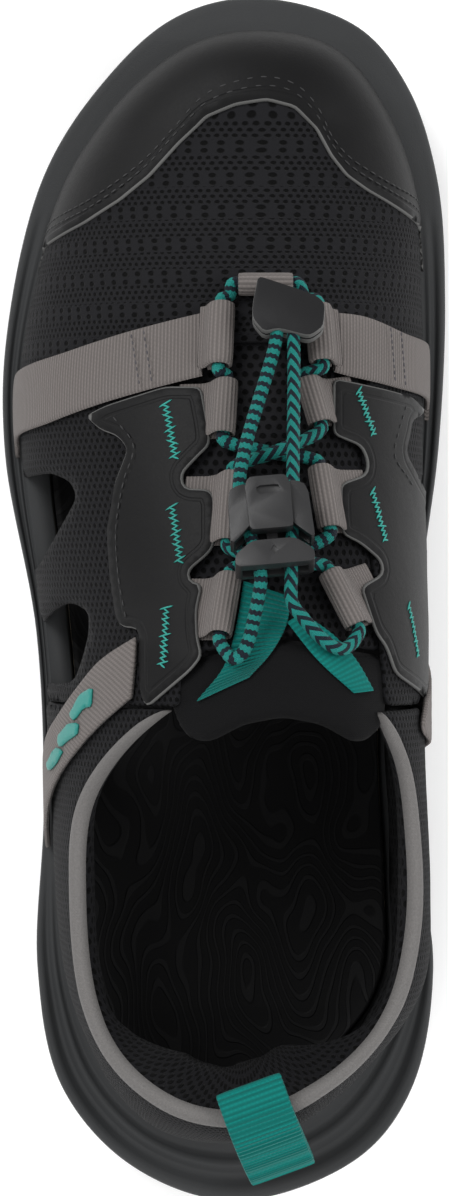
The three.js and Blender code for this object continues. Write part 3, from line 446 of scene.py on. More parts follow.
# %% A piece cut from sheet
def cut_piece(name, outline, inner, outer, finish, edge=None, corner=2.0, holes=(), side_holes=(),
              spacing=2.0, bevel=0.35, puff=None, seam_drop=0.45):
    """A sheet with any outline, given in plan, draped between two offsets."""
    loops = [tidy_loop(unroll(round_corners(outline, corner)))]
    loops += [tidy_loop(unroll(round_corners(o, corner), 1.05)) for o in holes]
    loops += [tidy_loop(unroll_side(round_corners(o, corner))) for o in side_holes]
    area = loops[0]
    low, high = area.min(0), area.max(0)
    rows = []
    for k, y in enumerate(np.arange(low[1], high[1], spacing * ROW_STEP)):
        x = np.arange(low[0] + (k % 2) * spacing / 2, high[0], spacing)
        rows.append(np.column_stack([x, np.full(len(x), y)]))
    grid = np.vstack(rows)
    keep = inside(grid, area) & (distance_to(grid, loops) > 0.7 * spacing)
    for hole in loops[1:]:
        keep &= ~inside(grid, hole)
    points, edges = [grid[keep]], []
    start = int(keep.sum())
    for loop in loops:
        n = len(loop)
        tangent = np.roll(loop, -1, 0) - np.roll(loop, 1, 0)
        normal = np.column_stack([-tangent[:, 1], tangent[:, 0]])
        normal /= np.maximum(np.linalg.norm(normal, axis=1), 1e-9)[:, None]
        shrink = loop + normal * bevel
        if not inside(shrink[:1], area)[0]:
            shrink = loop - normal * bevel
        good = inside(shrink, area) & (distance_to(shrink, loops) > bevel * 0.8)
        points += [loop, shrink[good]]
        edges += [(start + i, start + (i + 1) % n) for i in range(n)]
        start += n + int(good.sum())
    points = np.vstack(points)
    result = delaunay_2d_cdt([Vector(p) for p in points], edges, [], 0, 1e-5)
    flat = np.array([tuple(v) for v in result[0]])
    tris = np.array([f for f in result[2] if len(f) == 3])
    middle = flat[tris].mean(1)
    keep = inside(middle, area)
    for hole in loops[1:]:
        keep &= ~inside(middle, hole)
    tris = tris[keep]
    used = np.unique(tris)
    number = np.full(len(flat), -1)
    number[used] = np.arange(len(used))
    flat, tris = flat[used], number[tris]
    rim = distance_to(flat, loops)
    thick = outer - inner
    top = outer - seam_drop * thick * np.clip(1 - rim / bevel, 0, 1) ** 2
    if puff is not None:
        top = top + puff(flat, rim)
    count = len(flat)
    verts = np.vstack([drape(flat, top), drape(flat, inner)])
    pairs = {(t[k], t[(k + 1) % 3]): True for t in tris for k in range(3)}
    border = [(a, b) for a, b in pairs if (b, a) not in pairs]
    faces = [tuple(int(i) for i in t) for t in tris]
    faces += [tuple(int(i) + count for i in t[::-1]) for t in tris]
    faces += [(int(a) + count, int(b) + count, int(b), int(a)) for a, b in border]
    slots = np.zeros(len(faces), int)
    if edge is not None:
        slots[: len(tris)] = np.where((rim[tris] < bevel * 1.05).all(1), 1, 0)
        slots[2 * len(tris):] = 1
    finishes = [finish] if edge is None else [finish, edge]
    print(name, count, "pattern points")
    return make_object(name, verts, faces, finishes, np.vstack([flat, flat]), slots,
                       rim=np.r_[rim, rim])


# %% [markdown]
# ### Tapes
#
# Woven tape keeps the same width and its ribs run straight across it. It is therefore made from rows of
# points over its width instead of triangles, either on the surface or along a path in space. Its section
# is full in the middle and round at the selvedges.

# %% Closed bands
def section_half(across, thick, power=6.0):
    """Half the thickness of a woven tape over its width, full in the middle and round at its edges."""
    return thick / 2 * (1 - np.abs(2 * across - 1) ** power) ** (1 / power)


def over_width(columns):
    """Shares of a tape's width, closer together towards its edges."""
    return (1 - np.cos(np.linspace(0, np.pi, columns))) / 2


def closed_band(name, top, bottom, finish, uv, closed_run=False):
    """A closed sheet from two grids of points, joined along the long edges and at the ends."""
    rows, columns = top.shape[:2]
    verts = np.vstack([top.reshape(-1, 3), bottom.reshape(-1, 3)])
    n = rows * columns
    if closed_run:
        top_faces = grid_faces(columns, rows, closed=True)
        turn = [(r * columns + c) for c in range(columns) for r in range(rows)]
        faces = [tuple(turn[i] for i in f)[::-1] for f in top_faces]
        faces += [tuple(i + n for i in f)[::-1] for f in faces]
        ends = []
    else:
        faces = grid_faces(rows, columns)
        faces += [tuple(i + n for i in f)[::-1] for f in faces]
        ends = [(c, c + n, c + 1 + n, c + 1) for c in range(columns - 1)]
        last = (rows - 1) * columns
        ends += [(last + c + 1, last + c + 1 + n, last + c + n, last + c) for c in range(columns - 1)]
    span = range(rows if closed_run else rows - 1)
    for r in span:
        a, b = r * columns, ((r + 1) % rows) * columns
        ends.append((a, b, b + n, a + n))
        a, b = a + columns - 1, b + columns - 1
        ends.append((b, a, a + n, b + n))
    return make_object(name, verts, faces + ends, [finish], np.vstack([uv, uv]))


def loft_band(name, grid, up, thick, finish, uv, ribs=None, closed_run=False, shape=6.0):
    """A tape from the grid of its middle points (rows, columns, 3) and their outward directions."""
    rows, columns = grid.shape[:2]
    half = np.broadcast_to(section_half(over_width(columns), thick, shape), (rows, columns))
    rise = 0.0 if ribs is None else ribs(uv[:, 0], uv[:, 1]).reshape(rows, columns) * (half > 0.05)
    lift = (half + rise)[..., None] * up
    return closed_band(name, grid + lift, grid - lift, finish, uv, closed_run=closed_run)


def band_uv(grid):
    """A UV map in millimetres: across the tape, then along it."""
    rows, columns = grid.shape[:2]
    middle = grid[:, columns // 2]
    along = lengths_along(middle)
    cross = np.linalg.norm(np.diff(grid, axis=1), axis=2)
    across = np.column_stack([np.zeros(rows), np.cumsum(cross, axis=1)])
    return np.column_stack([across.ravel(), np.repeat(along, columns)])


print("columns over a tape at", over_width(5).round(2).tolist(), "of its width")

# %% [markdown]
# ### Where the rows go
#
# A tape on the upper has its rows between two edge lines, worked out in the flat pattern. A tape in the
# open follows a smooth path, with its width held along one direction. Both give the middle points and the
# outward direction of each, which is all that a band needs.

# %% Rows for tapes
def surface_rows(edge_a, edge_b, offset, step=0.5, columns=13):
    """Rows of points over the upper between two edge lines given in plan, and their directions."""
    lines = [unroll(np.array(e, float)) for e in (edge_a, edge_b)]
    lines = [spline(e, closed=False) if len(e) > 2 else e for e in lines]
    longest = max(np.linalg.norm(np.diff(e, axis=0), axis=1).sum() for e in lines)
    rows = int(longest / step) + 1
    even = []
    for e in lines:
        at = lengths_along(e)
        t = np.linspace(0, at[-1], rows)
        even.append(np.column_stack([np.interp(t, at, e[:, 0]), np.interp(t, at, e[:, 1])]))
    across = over_width(columns)[None, :, None]
    flat = (even[0][:, None] * (1 - across) + even[1][:, None] * across).reshape(-1, 2)
    grid = drape(flat, offset).reshape(rows, columns, 3)
    return grid, normals_at(flat, offset).reshape(rows, columns, 3)


def normals_at(flat, offset):
    """Outward directions of the surface at flat pattern points, or past its rim those just inside."""
    step = 0.4
    s = Spokes(flat)
    flat = s.at(np.minimum(s.far, s.arc - 2 * step))
    here = drape(flat, offset)
    du = drape(flat + (step, 0), offset) - here
    dv = drape(flat + (0, step), offset) - here
    n = np.cross(du, dv)
    return n / np.maximum(np.linalg.norm(n, axis=1), 1e-9)[:, None]


def surface_band(name, edge_a, edge_b, offset, thick, finish, ribs=None, step=0.5, columns=13):
    """A tape that lies on the upper between two edge lines given in plan."""
    grid, up = surface_rows(edge_a, edge_b, offset, step, columns)
    return loft_band(name, grid, up, thick, finish, band_uv(grid), ribs)


def strip_rows(path, side, width, step=0.4, columns=13, closed=False):
    """Rows of points for a tape that follows a path in space, with its width along a direction."""
    path = resample(spline(path, closed=closed), step, closed=closed)
    ring = np.vstack([path[-2:], path, path[:2]]) if closed else path
    run = np.gradient(ring, axis=0)
    run /= np.linalg.norm(run, axis=1)[:, None]
    side = np.asarray(side, float) - (run @ np.asarray(side, float))[:, None] * run
    side /= np.linalg.norm(side, axis=1)[:, None]
    up = np.cross(run, side)
    if closed:
        side, up = side[2:-2], up[2:-2]
    across = (over_width(columns) - 0.5) * width
    grid = path[:, None] + side[:, None] * across[None, :, None]
    return grid, np.repeat(up[:, None], columns, axis=1)


def space_strip(name, path, side, width, thick, finish, ribs=None, closed=False, step=0.4):
    grid, up = strip_rows(path, side, width, step, closed=closed)
    return loft_band(name, grid, up, thick, finish, band_uv(grid), ribs, closed)


def rib_rule(pitch, height):
    """Ribs across a tape, as a rise along its length."""
    return lambda u, v: height * np.cos(2 * np.pi * v / pitch)


print("tape half thickness over its width", section_half(over_width(5), 1.0).round(2).tolist())

# %% [markdown]
# ## Finishes
#
# Each finish is written as a shader graph. Sums of sockets are written as plain sums through a small
# class, so a weave reads as its formula. Lengths in these graphs are in millimetres: a sheet's UV map
# holds them already, and object coordinates, which solid pieces use, are multiplied by a thousand.

# %% Shader expressions
class Ex:
    """A number in a shader graph: sums and comparisons make Math nodes."""

    def __init__(self, graph, socket):
        self.graph, self.socket = graph, socket

    def _math(self, op, *args):
        node = self.graph.tree.nodes.new("ShaderNodeMath")
        node.operation = op
        for slot_in, value in zip(node.inputs, args):
            self.graph.feed(slot_in, value)
        return Ex(self.graph, node.outputs[0])

    def __neg__(self):
        return self._math("MULTIPLY", self, -1.0)

    def step(self, low, high):
        """Nought below low, one above high, smooth between."""
        node = self.graph.tree.nodes.new("ShaderNodeMapRange")
        node.interpolation_type = "SMOOTHSTEP"
        self.graph.feed(node.inputs["Value"], self)
        node.inputs["From Min"].default_value = low
        node.inputs["From Max"].default_value = high
        return Ex(self.graph, node.outputs["Result"])


def add_method(name, operation, turned=False):
    """Give shader numbers a method that makes one Math node. Turned puts the number itself last."""
    def method(self, *others):
        return self._math(operation, *((*others, self) if turned else (self, *others)))

    setattr(Ex, name, method)


for word, operation in (("add", "ADD"), ("sub", "SUBTRACT"), ("mul", "MULTIPLY"), ("truediv", "DIVIDE")):
    add_method(f"__{word}__", operation)
    add_method(f"__r{word}__", operation, turned=True)
for word, operation in (
        ("__pow__", "POWER"), ("__gt__", "GREATER_THAN"), ("__lt__", "LESS_THAN"), ("sin", "SINE"),
        ("cos", "COSINE"), ("abs", "ABSOLUTE"), ("floor", "FLOOR"), ("root", "SQRT"),
        ("mod", "FLOORED_MODULO"), ("least", "MINIMUM")):
    add_method(word, operation)


class Graph:
    """A finish: its node tree, and short ways to add nodes to it."""

    def __init__(self, name):
        self.material = bpy.data.materials.new(name)
        self.material.use_nodes = True
        self.tree = self.material.node_tree
        self.shader = self.tree.nodes["Principled BSDF"]

    def feed(self, target, value):
        if isinstance(value, Ex):
            self.tree.links.new(value.socket, target)
        elif isinstance(value, (tuple, list)) and len(value) == 3 and target.type == "RGBA":
            target.default_value = (*value, 1.0)
        else:
            target.default_value = value

    def node(self, kind, out=0, inputs=(), **settings):
        node = self.tree.nodes.new("ShaderNode" + kind)
        for key, value in settings.items():
            setattr(node, key, value)
        for key, value in dict(inputs).items():
            self.feed(node.inputs[key], value)
        return Ex(self, node.outputs[out])

    def uv(self):
        """Along and across a sheet, in millimetres."""
        found = self.node("SeparateXYZ", inputs={0: self.node("UVMap")})
        node = found.socket.node
        return Ex(self, node.outputs[0]), Ex(self, node.outputs[1])

    def place(self):
        """Object coordinates, in millimetres."""
        here = self.node("TexCoord", out="Object")
        node = self.node("SeparateXYZ", inputs={0: here}).socket.node
        return tuple(Ex(self, s) * 1000.0 for s in node.outputs)

    def xyz(self, x, y, z=0.0):
        return self.node("CombineXYZ", inputs={0: x, 1: y, 2: z})

    def noise(self, where, scale, detail=3.0, rough=0.55):
        return self.node("TexNoise", inputs={
            "Vector": where, "Scale": scale, "Detail": detail, "Roughness": rough})

    def mix(self, factor, a, b):
        node = self.tree.nodes.new("ShaderNodeMix")
        node.data_type = "RGBA"
        self.feed(node.inputs["Factor"], factor)
        self.feed(node.inputs["A"], a)
        self.feed(node.inputs["B"], b)
        return Ex(self, node.outputs["Result"])

    def bump(self, height, distance, strength=1.0):
        return self.node("Bump", inputs={
            "Height": height, "Distance": distance * MM, "Strength": strength})

    def set(self, **values):
        """Principled inputs by name, with spaces as underscores."""
        for key, value in values.items():
            self.feed(self.shader.inputs[key.replace("_", " ")], value)
        return self.material


def tint(r, g, b):
    """A colour as seen, from 0 to 255, as the linear colour that shaders take."""
    return tuple((v / 255) ** 2.2 for v in (r, g, b))


print("mid grey is", [round(v, 3) for v in tint(128, 128, 128)], "in linear light")

# %% [markdown]
# ### Rubber, foam and plastics
#
# The midsole is an injected foam with a fine skin: nearly even, with a faint mottle. The tread rubber
# is darker and matt. The lock is glossy moulded plastic with a spark-eroded grain. The lasting board
# and the stiffeners hardly show, but have a finish too.

# %% Solid finishes
def solid_finish(name, colour, rough, grain, depth, spread=0.12, scale=60.0, **more):
    g = Graph(name)
    x, y, z = g.place()
    here = g.xyz(x, y, z)
    cloud = g.noise(here, 0.035, 4.0)
    fine = g.noise(here, scale / 30.0, 2.0)
    dark = tuple(c * (1 - spread) for c in colour)
    light = tuple(c * (1 + spread) for c in colour)
    g.set(Base_Color=g.mix((cloud - 0.3) * 2.5, dark, light),
          Roughness=rough + (fine - 0.5) * 0.12,
          Normal=g.bump(g.noise(here, grain, 2.0), depth), **more)
    return g.material


MIDSOLE = solid_finish("midsole_foam", tint(49, 50, 51), 0.62, 3.2, 0.06, 0.06, Specular_IOR_Level=0.25)
RUBBER = solid_finish("tread_rubber", tint(46, 46, 48), 0.8, 2.2, 0.09)
PLASTIC = solid_finish("lock_plastic", tint(37, 37, 38), 0.38, 5.0, 0.03, 0.05, Specular_IOR_Level=0.4)
BOARD = solid_finish("fibre_board", tint(185, 171, 147), 0.9, 1.2, 0.1)
STEEL = solid_finish("spring_steel", tint(184, 187, 192), 0.28, 6.0, 0.01, Metallic=1.0)
CUT_EDGE = solid_finish("cut_edge", tint(82, 82, 81), 0.7, 3.0, 0.04)
print("solid finishes", len(bpy.data.materials))

# %% [markdown]
# ### Mesh, film and weaves
#
# The outer mesh is a warp knit: small round holes in a honeycomb, crossed by rows of larger oval
# holes that come in pairs. Light yarn shows between the holes, and the holes are near black: the dark
# padding seen through them, painted darker still as shade inside the holes. Real holes would need
# millions of faces, so the knit is a bump and a change of colour.

# %% Mesh finish
def honeycomb(x, y, pitch):
    """Distance from the nearest point of a honeycomb, as a share of the pitch."""
    rise = pitch * math.sqrt(3)
    best = None
    for shift in (0.0, 0.5):
        dx = ((x / pitch + shift).mod(1.0) - 0.5) * pitch
        dy = ((y / rise + shift).mod(1.0) - 0.5) * rise
        far = (dx * dx + dy * dy).root()
        best = far if best is None else best.least(far)
    return best / pitch


def mesh_finish(name, holes=True, pitch=1.5, yarn=tint(30, 30, 32), padding_and_hole_shade=tint(3, 3, 4), turn=0.0):
    g = Graph(name)
    u, v = g.uv()
    wave = g.noise(g.xyz(u, v), 0.25, 2.0)
    x, y = u + (wave - 0.5) * 0.5, v + (wave - 0.5) * 0.35
    if turn:
        c, s = math.cos(turn), math.sin(turn)
        x, y = x * c + y * s, y * c - x * s
    cell = honeycomb(x, y, pitch)
    solid = cell.step(0.2, 0.36)
    if holes:
        row = (y / 7.6).mod(1.0) * 7.6 - 3.8
        near_row = 1.0 - row.abs().step(1.6, 2.0)
        across = (x / 3.0 + (y / 7.6).floor() * 0.5).mod(1.0) * 3.0 - 1.5
        pair = (row.abs() - 0.9) * 1.15
        oval = ((across * 1.05) ** 2.0 + pair * pair).root()
        big = oval.step(0.5, 0.82)
        solid = solid.least(big)
        solid = solid * (1.0 - near_row) + big * near_row
    fibre = g.noise(g.xyz(x * 3.0, y * 3.0), 3.0, 2.0)
    tone = g.mix(fibre * 0.9, tuple(c * 0.7 for c in yarn), tuple(c * 1.35 for c in yarn))
    # Through the holes the colour is near black: the dark padding, painted darker still as shade inside the
    # holes.
    g.set(Base_Color=g.mix(solid, padding_and_hole_shade, tone), Roughness=0.82,
          Normal=g.bump(solid + fibre * 0.18, 0.45), Sheen_Weight=0.02, Sheen_Roughness=0.5,
          Specular_IOR_Level=0.1)
    return g.material


VAMP_MESH = mesh_finish("vamp_mesh_knit")
SIDE_MESH = mesh_finish("side_mesh_knit", holes=False, pitch=1.7, yarn=tint(28, 28, 30))
SPACER = mesh_finish("spacer_mesh", holes=False, pitch=2.3, yarn=tint(29, 29, 31))
LINING = mesh_finish("lining_mesh", holes=False, pitch=2.6, yarn=tint(27, 27, 29))
print("with the meshes, finishes", len(bpy.data.materials))

# %% [markdown]
# ### Film
#
# The film is a smooth welded skin with a faint leather grain. A groove runs near its edge where the
# welding tool pressed it, taken from the distance to the rim that each piece stores.

# %% Film finish
def film_finish(name, colour=tint(15, 15, 16), line=True):
    g = Graph(name)
    x, y, z = g.place()
    here = g.xyz(x, y, z)
    grain = g.noise(here, 1.6, 4.0, 0.65)
    slow = g.noise(here, 0.12, 2.0)
    rim = g.node("Attribute", out="Fac", attribute_name="rim")
    groove = 1.0 - (rim - 2.4).abs().step(0.15, 0.5) if line else 0.0
    height = grain * 0.35 + slow * 1.2 - (groove * 0.9 if line else 0.0)
    lip = 1.0 - rim.step(0.3, 1.0)
    g.set(Base_Color=g.mix(lip * 0.32 + (slow - 0.45) * 0.5, colour, tuple(c * 1.9 for c in colour)),
          Roughness=0.46 + grain * 0.16, Normal=g.bump(height, 0.12), Specular_IOR_Level=0.16)
    return g.material


FILM = film_finish("welded_film")
PATCH_FILM = film_finish("end_tab_film", tint(27, 27, 28), line=False)
print("with the films, finishes", len(bpy.data.materials))

# %% [markdown]
# ### Webbing
#
# Webbing has ribs across its length, drawn from its UV map in millimetres so that each tape has the same
# weave. Its colour is painted darker in the grooves between the ribs and lighter on their tops, as painted
# shade. A noise adds the fuzz of worn yarn.

# %% Webbing finish
def webbing_finish(name, colour, rib=0.85, depth=0.22, spread=0.3, twill=False, columns=1.0):
    g = Graph(name)
    u, v = g.uv()
    fuzz = g.noise(g.xyz(u * 2.0, v * 2.0), 2.4, 3.0)
    if twill:
        phase = (u + v) / 1.25 + (fuzz - 0.5) * 0.1
        weave = (phase * 2 * math.pi).sin() * 0.5 + 0.5
        yarn = ((u / 0.55) * 2 * math.pi).sin() * 0.5 + 0.5
        height = weave * 0.7 + yarn * 0.3
    else:
        ribs = ((v / rib) * 2 * math.pi).cos() * -0.5 + 0.5
        lines = ((u / columns) * 2 * math.pi + (v / rib).floor() * math.pi).sin() * 0.5 + 0.5
        height = ribs * 0.72 + lines * ribs * 0.28
    # Painted shade: the colour is darker in the grooves between the ribs and lighter on their tops; the
    # fuzz adds real yarn tone.
    rib_shade_and_fuzz = (height * 0.8 + fuzz * 0.4 - 0.1)
    dark = tuple(c * (1 - spread) for c in colour)
    light = tuple(c * (1 + spread) for c in colour)
    g.set(Base_Color=g.mix(rib_shade_and_fuzz, dark, light), Roughness=0.78, Sheen_Weight=0.04,
          Sheen_Roughness=0.45, Normal=g.bump(height + fuzz * 0.25, depth), Specular_IOR_Level=0.15)
    return g.material


GREY_WEB = tint(101, 96, 94)
TEAL = tint(9, 103, 97)
WEBBING = webbing_finish("grey_webbing", GREY_WEB)
TWILL = webbing_finish("grey_twill", GREY_WEB, twill=True)
TEAL_WEB = webbing_finish("teal_ribbed_tape", TEAL, rib=1.15, depth=0.3)
print("with the tapes, finishes", len(bpy.data.materials))

# %% [markdown]
# ### Knits and threads
#
# The collar and the tongue edge are a fine stretch knit, whose stitches show only as a soft bump. The
# threads and the badge are plain finishes, made in the same cell.

# %% Knit finish
def knit_finish(name, colour, pitch=0.8, depth=0.1):
    """Smooth stretch cloth over foam: a very fine knit."""
    g = Graph(name)
    u, v = g.uv()
    wales = ((u / pitch) * 2 * math.pi).sin().abs()
    courses = ((v / (pitch * 0.7)) * 2 * math.pi + ((u / pitch) * 2 * math.pi).cos() * 1.2).sin()
    height = wales * 0.5 + courses * 0.3
    fuzz = g.noise(g.xyz(u, v), 1.6, 3.0)
    g.set(Base_Color=g.mix(fuzz, tuple(c * 0.8 for c in colour), tuple(c * 1.25 for c in colour)),
          Roughness=0.8, Sheen_Weight=0.03, Sheen_Roughness=0.4,
          Normal=g.bump(height + fuzz * 0.3, depth), Specular_IOR_Level=0.1)
    return g.material


NEOPRENE = knit_finish("collar_knit", tint(19, 19, 20), 0.7, 0.06)
BINDING = knit_finish("binding_knit", tint(103, 101, 100), 0.9, 0.08)
SOCK = knit_finish("sock_knit", tint(20, 20, 22), 0.9, 0.12)
THREAD = solid_finish("teal_thread", tint(28, 132, 122), 0.6, 4.0, 0.03, 0.15)
DARK_THREAD = solid_finish("dark_thread", tint(58, 56, 60), 0.6, 4.0, 0.03, 0.1)
BLACK_THREAD = solid_finish("black_thread", tint(34, 34, 35), 0.6, 4.0, 0.03, 0.1)
BADGE = solid_finish("badge_rubber", tint(10, 118, 110), 0.5, 4.0, 0.03, 0.05)
print("with knits and threads, finishes", len(bpy.data.materials))

# %% [markdown]
# ### Braided cord
#
# The cord has a braided cover of two colours. On one half it makes short bars and on the other chevrons,
# so the pattern is mixed by a value stored on the cord.

# %% Cord finish
def cord_finish(name):
    """A braided cover: teal and black strands, in bars on one half and in chevrons on the other."""
    g = Graph(name)
    u, v = g.uv()
    half = g.node("Attribute", out="Fac", attribute_name="rim")
    around = u / 8.0
    bars = ((v / 2.35 + (around * 6.2832 * 8).sin() * 0.05) * 2 * math.pi).sin()
    zigzag = ((around * 2.0).mod(1.0) - 0.5).abs() * 2.0
    chevron = ((v / 2.9 + zigzag * 0.9) * 2 * math.pi).sin()
    pattern = bars * (1.0 - half) + chevron * half
    dark = pattern.step(-0.05, 0.25)
    strands = (((v + u * 0.9) / 0.62) * 2 * math.pi).sin() * (((v - u * 0.9) / 0.62) * 2 * math.pi).sin()
    fuzz = g.noise(g.xyz(u, v), 4.0, 2.0)
    teal = g.mix(fuzz, tint(5, 88, 84), tint(36, 134, 126))
    black = g.mix(fuzz, tint(8, 16, 26), tint(24, 34, 44))
    g.set(Base_Color=g.mix(dark, teal, black), Roughness=0.68, Sheen_Weight=0.03,
          Sheen_Roughness=0.4, Normal=g.bump(strands * 0.5 + fuzz * 0.3, 0.16),
          Specular_IOR_Level=0.2)
    return g.material


CORD_FINISH = cord_finish("braided_elastic")
print("with the cord, finishes", len(bpy.data.materials))

# %% [markdown]
# ### Footbed relief
#
# The footbed cloth is moulded with contour lines. A slow noise gives a landscape, and a sine of its
# height gives the lines.

# %% Footbed finish
def insole_finish(name):
    """Dark moulded cloth with a printed relief of contour lines, like a fingerprint."""
    g = Graph(name)
    u, v = g.uv()
    field = g.noise(g.xyz(u * 0.9, v * 0.5), 0.045, 1.5, 0.4)
    line = ((field * 30.0) * 2 * math.pi).sin()
    ridge = line.step(0.25, 0.75)
    grain = g.noise(g.xyz(u, v), 2.0, 3.0)
    g.set(Base_Color=g.mix(ridge * 0.7 + grain * 0.3, tint(12, 12, 13), tint(18, 18, 19)),
          Roughness=0.75 - ridge * 0.1, Normal=g.bump(ridge * 0.7 + grain * 0.25, 0.2),
          Specular_IOR_Level=0.15)
    return g.material


INSOLE = insole_finish("footbed_relief")
print("finishes", len(bpy.data.materials))

# %% [markdown]
# ## The sole
#
# The sole is an injected foam midsole glued to a rubber tread. The midsole flares out past the upper,
# most of all behind the heel, where shallow grooves run round it, and carries a rolled rim along the
# sides. Both are lofts: one ring of points for every station round the foot, and one row per height.

# %% Lofts round the foot
RING_STEPS = 420


def station_ring(count=RING_STEPS):
    """Spokes spread evenly along the sole's edge."""
    edge = resample(SOLE, np.linalg.norm(np.diff(SOLE, axis=0), axis=1).sum() / count, closed=True)
    return Spokes(edge)


RING = station_ring()
RING.sole = to_sole(RING.cx, RING.cy, RING.ux, RING.uy)


def ring_points(out, height):
    """One row of points: a distance from the ridge and a rule for the height at each y."""
    x, y = RING.cx + RING.ux * out, RING.cy + RING.uy * out
    return np.column_stack([x, y, height(y, x)])


def loft(name, rows, finish):
    """A closed solid of rings, each a (distance, height rule) pair, from the bottom's middle up."""
    grid = np.array([ring_points(out, height) for out, height in rows])
    count = grid.shape[1]
    verts = grid.reshape(-1, 3)
    faces = grid_faces(len(rows), count, closed=True, flip=True)
    last = (len(rows) - 1) * count
    faces += [tuple(range(count)), tuple(last + k for k in range(count))[::-1]]
    return make_object(name, verts, faces, [finish])


LUG, OUTSOLE_SHEET, POCKET = 3.5, 3.0, 4.0
tread_z = lambda y, x: ground_rise(y) + LUG
joint_z = lambda y, x: tread_z(y, x) + OUTSOLE_SHEET
feather_line = lambda y, x: feather_z(y)


def between(share):
    """A distance between the sole's edge and the upper's, by share."""
    return RING.sole + (RING.edge - RING.sole) * share


def midsole_rows():
    """The rings of the midsole, from the middle of its base up, over the rim and into the pocket."""
    base = lambda y, x: joint_z(y, x) + GAP
    heelness = np.clip((-RING.cy - RING.uy * RING.edge - 60) / 45, 0, 1)
    side = 1 - heelness
    rows = [(RING.sole * f, base) for f in (0.0001, 0.3, 0.6, 0.85)]
    rows += [(RING.sole - 1.8, base), (RING.sole - 1.0, lambda y, x: base(y, x) + 0.4)]
    for share in np.linspace(0.06, 1, 15):
        belly = 1.3 * math.sin(share * math.pi) ** 0.7
        pinch = 0.9 * np.exp(-((share - 0.62) / 0.07) ** 2) * (0.4 + 0.6 * heelness)
        height = lambda y, x, s=share: base(y, x) + (feather_z(y) - 4.2 - base(y, x)) * s
        rows.append((RING.sole - 1.0 + belly - pinch, height))
    # the rolled rim, a valley behind it, then the ledge that the upper stands on
    profile = [(0.0, -3.4, 0.0, 0.0), (0.02, -2.6, 0.1, 0.1), (0.07, -2.0, 0.3, 0.4),
               (0.14, -1.7, 0.3, 0.6), (0.21, -1.6, -0.6, 0.4), (0.27, -1.5, -1.6, -0.3),
               (0.33, -1.4, -2.1, -0.9), (0.39, -1.3, -1.5, -0.9), (0.45, -1.2, -0.2, -0.2),
               (0.51, -1.1, 0.2, 0.2), (0.57, -1.0, -0.5, 0.1), (0.63, -0.9, -1.5, -0.3),
               (0.69, -0.8, -1.3, -0.6), (0.76, -0.6, -0.3, -0.4), (0.84, -0.4, 0.0, -0.1),
               (0.92, -0.15, 0.0, 0.0)]
    waist = side * np.clip(1 - np.abs(RING.cy + RING.uy * RING.edge - 20) / 70, 0, 1) ** 0.5
    for share, drop, groove, ridge in profile:
        depth = drop + groove * heelness * 0.8 + ridge * waist
        height = lambda y, x, d=depth: feather_z(y) + d
        rows.append((between(share) + 0.25 * side * (share < 0.2), height))
    rows += [(RING.edge + 0.2, feather_line), (RING.edge - 4.6, feather_line),
             (RING.edge - 5.0, lambda y, x: feather_z(y) - 0.4),
             (RING.edge - 5.0, lambda y, x: feather_z(y) - POCKET)]
    rows += [((RING.edge - 5) * f, lambda y, x: feather_z(y) - POCKET) for f in (0.9, 0.6, 0.3, 0.0001)]
    return rows


midsole = loft("midsole_foam_body", midsole_rows(), MIDSOLE)
sheet_rows = [(RING.sole * f, tread_z) for f in (0.0001, 0.5, 0.8)]
sheet_rows += [(RING.sole - 4, tread_z), (RING.sole - 2.2, lambda y, x: tread_z(y, x) + 0.3),
               (RING.sole - 1.4, lambda y, x: tread_z(y, x) + 1.2),
               (RING.sole - 0.9, lambda y, x: joint_z(y, x) - 0.3), (RING.sole - 1.2, joint_z)]
sheet_rows += [(RING.sole * f, joint_z) for f in (0.8, 0.4, 0.0001)]
tread = loft("tread_sheet", sheet_rows, RUBBER)
print("midsole", len(midsole.data.polygons), "faces")

# %% [markdown]
# ### Tread lugs, stitches and tacks: one instancer
#
# Lugs, stitches and bar-tack threads each repeat one small shape along a path or over an area. One
# geometry-nodes tree does them all: it puts a shape on every point, turned by the point's
# own normal and direction and scaled by its own size, then makes the copies real and gives a finish.

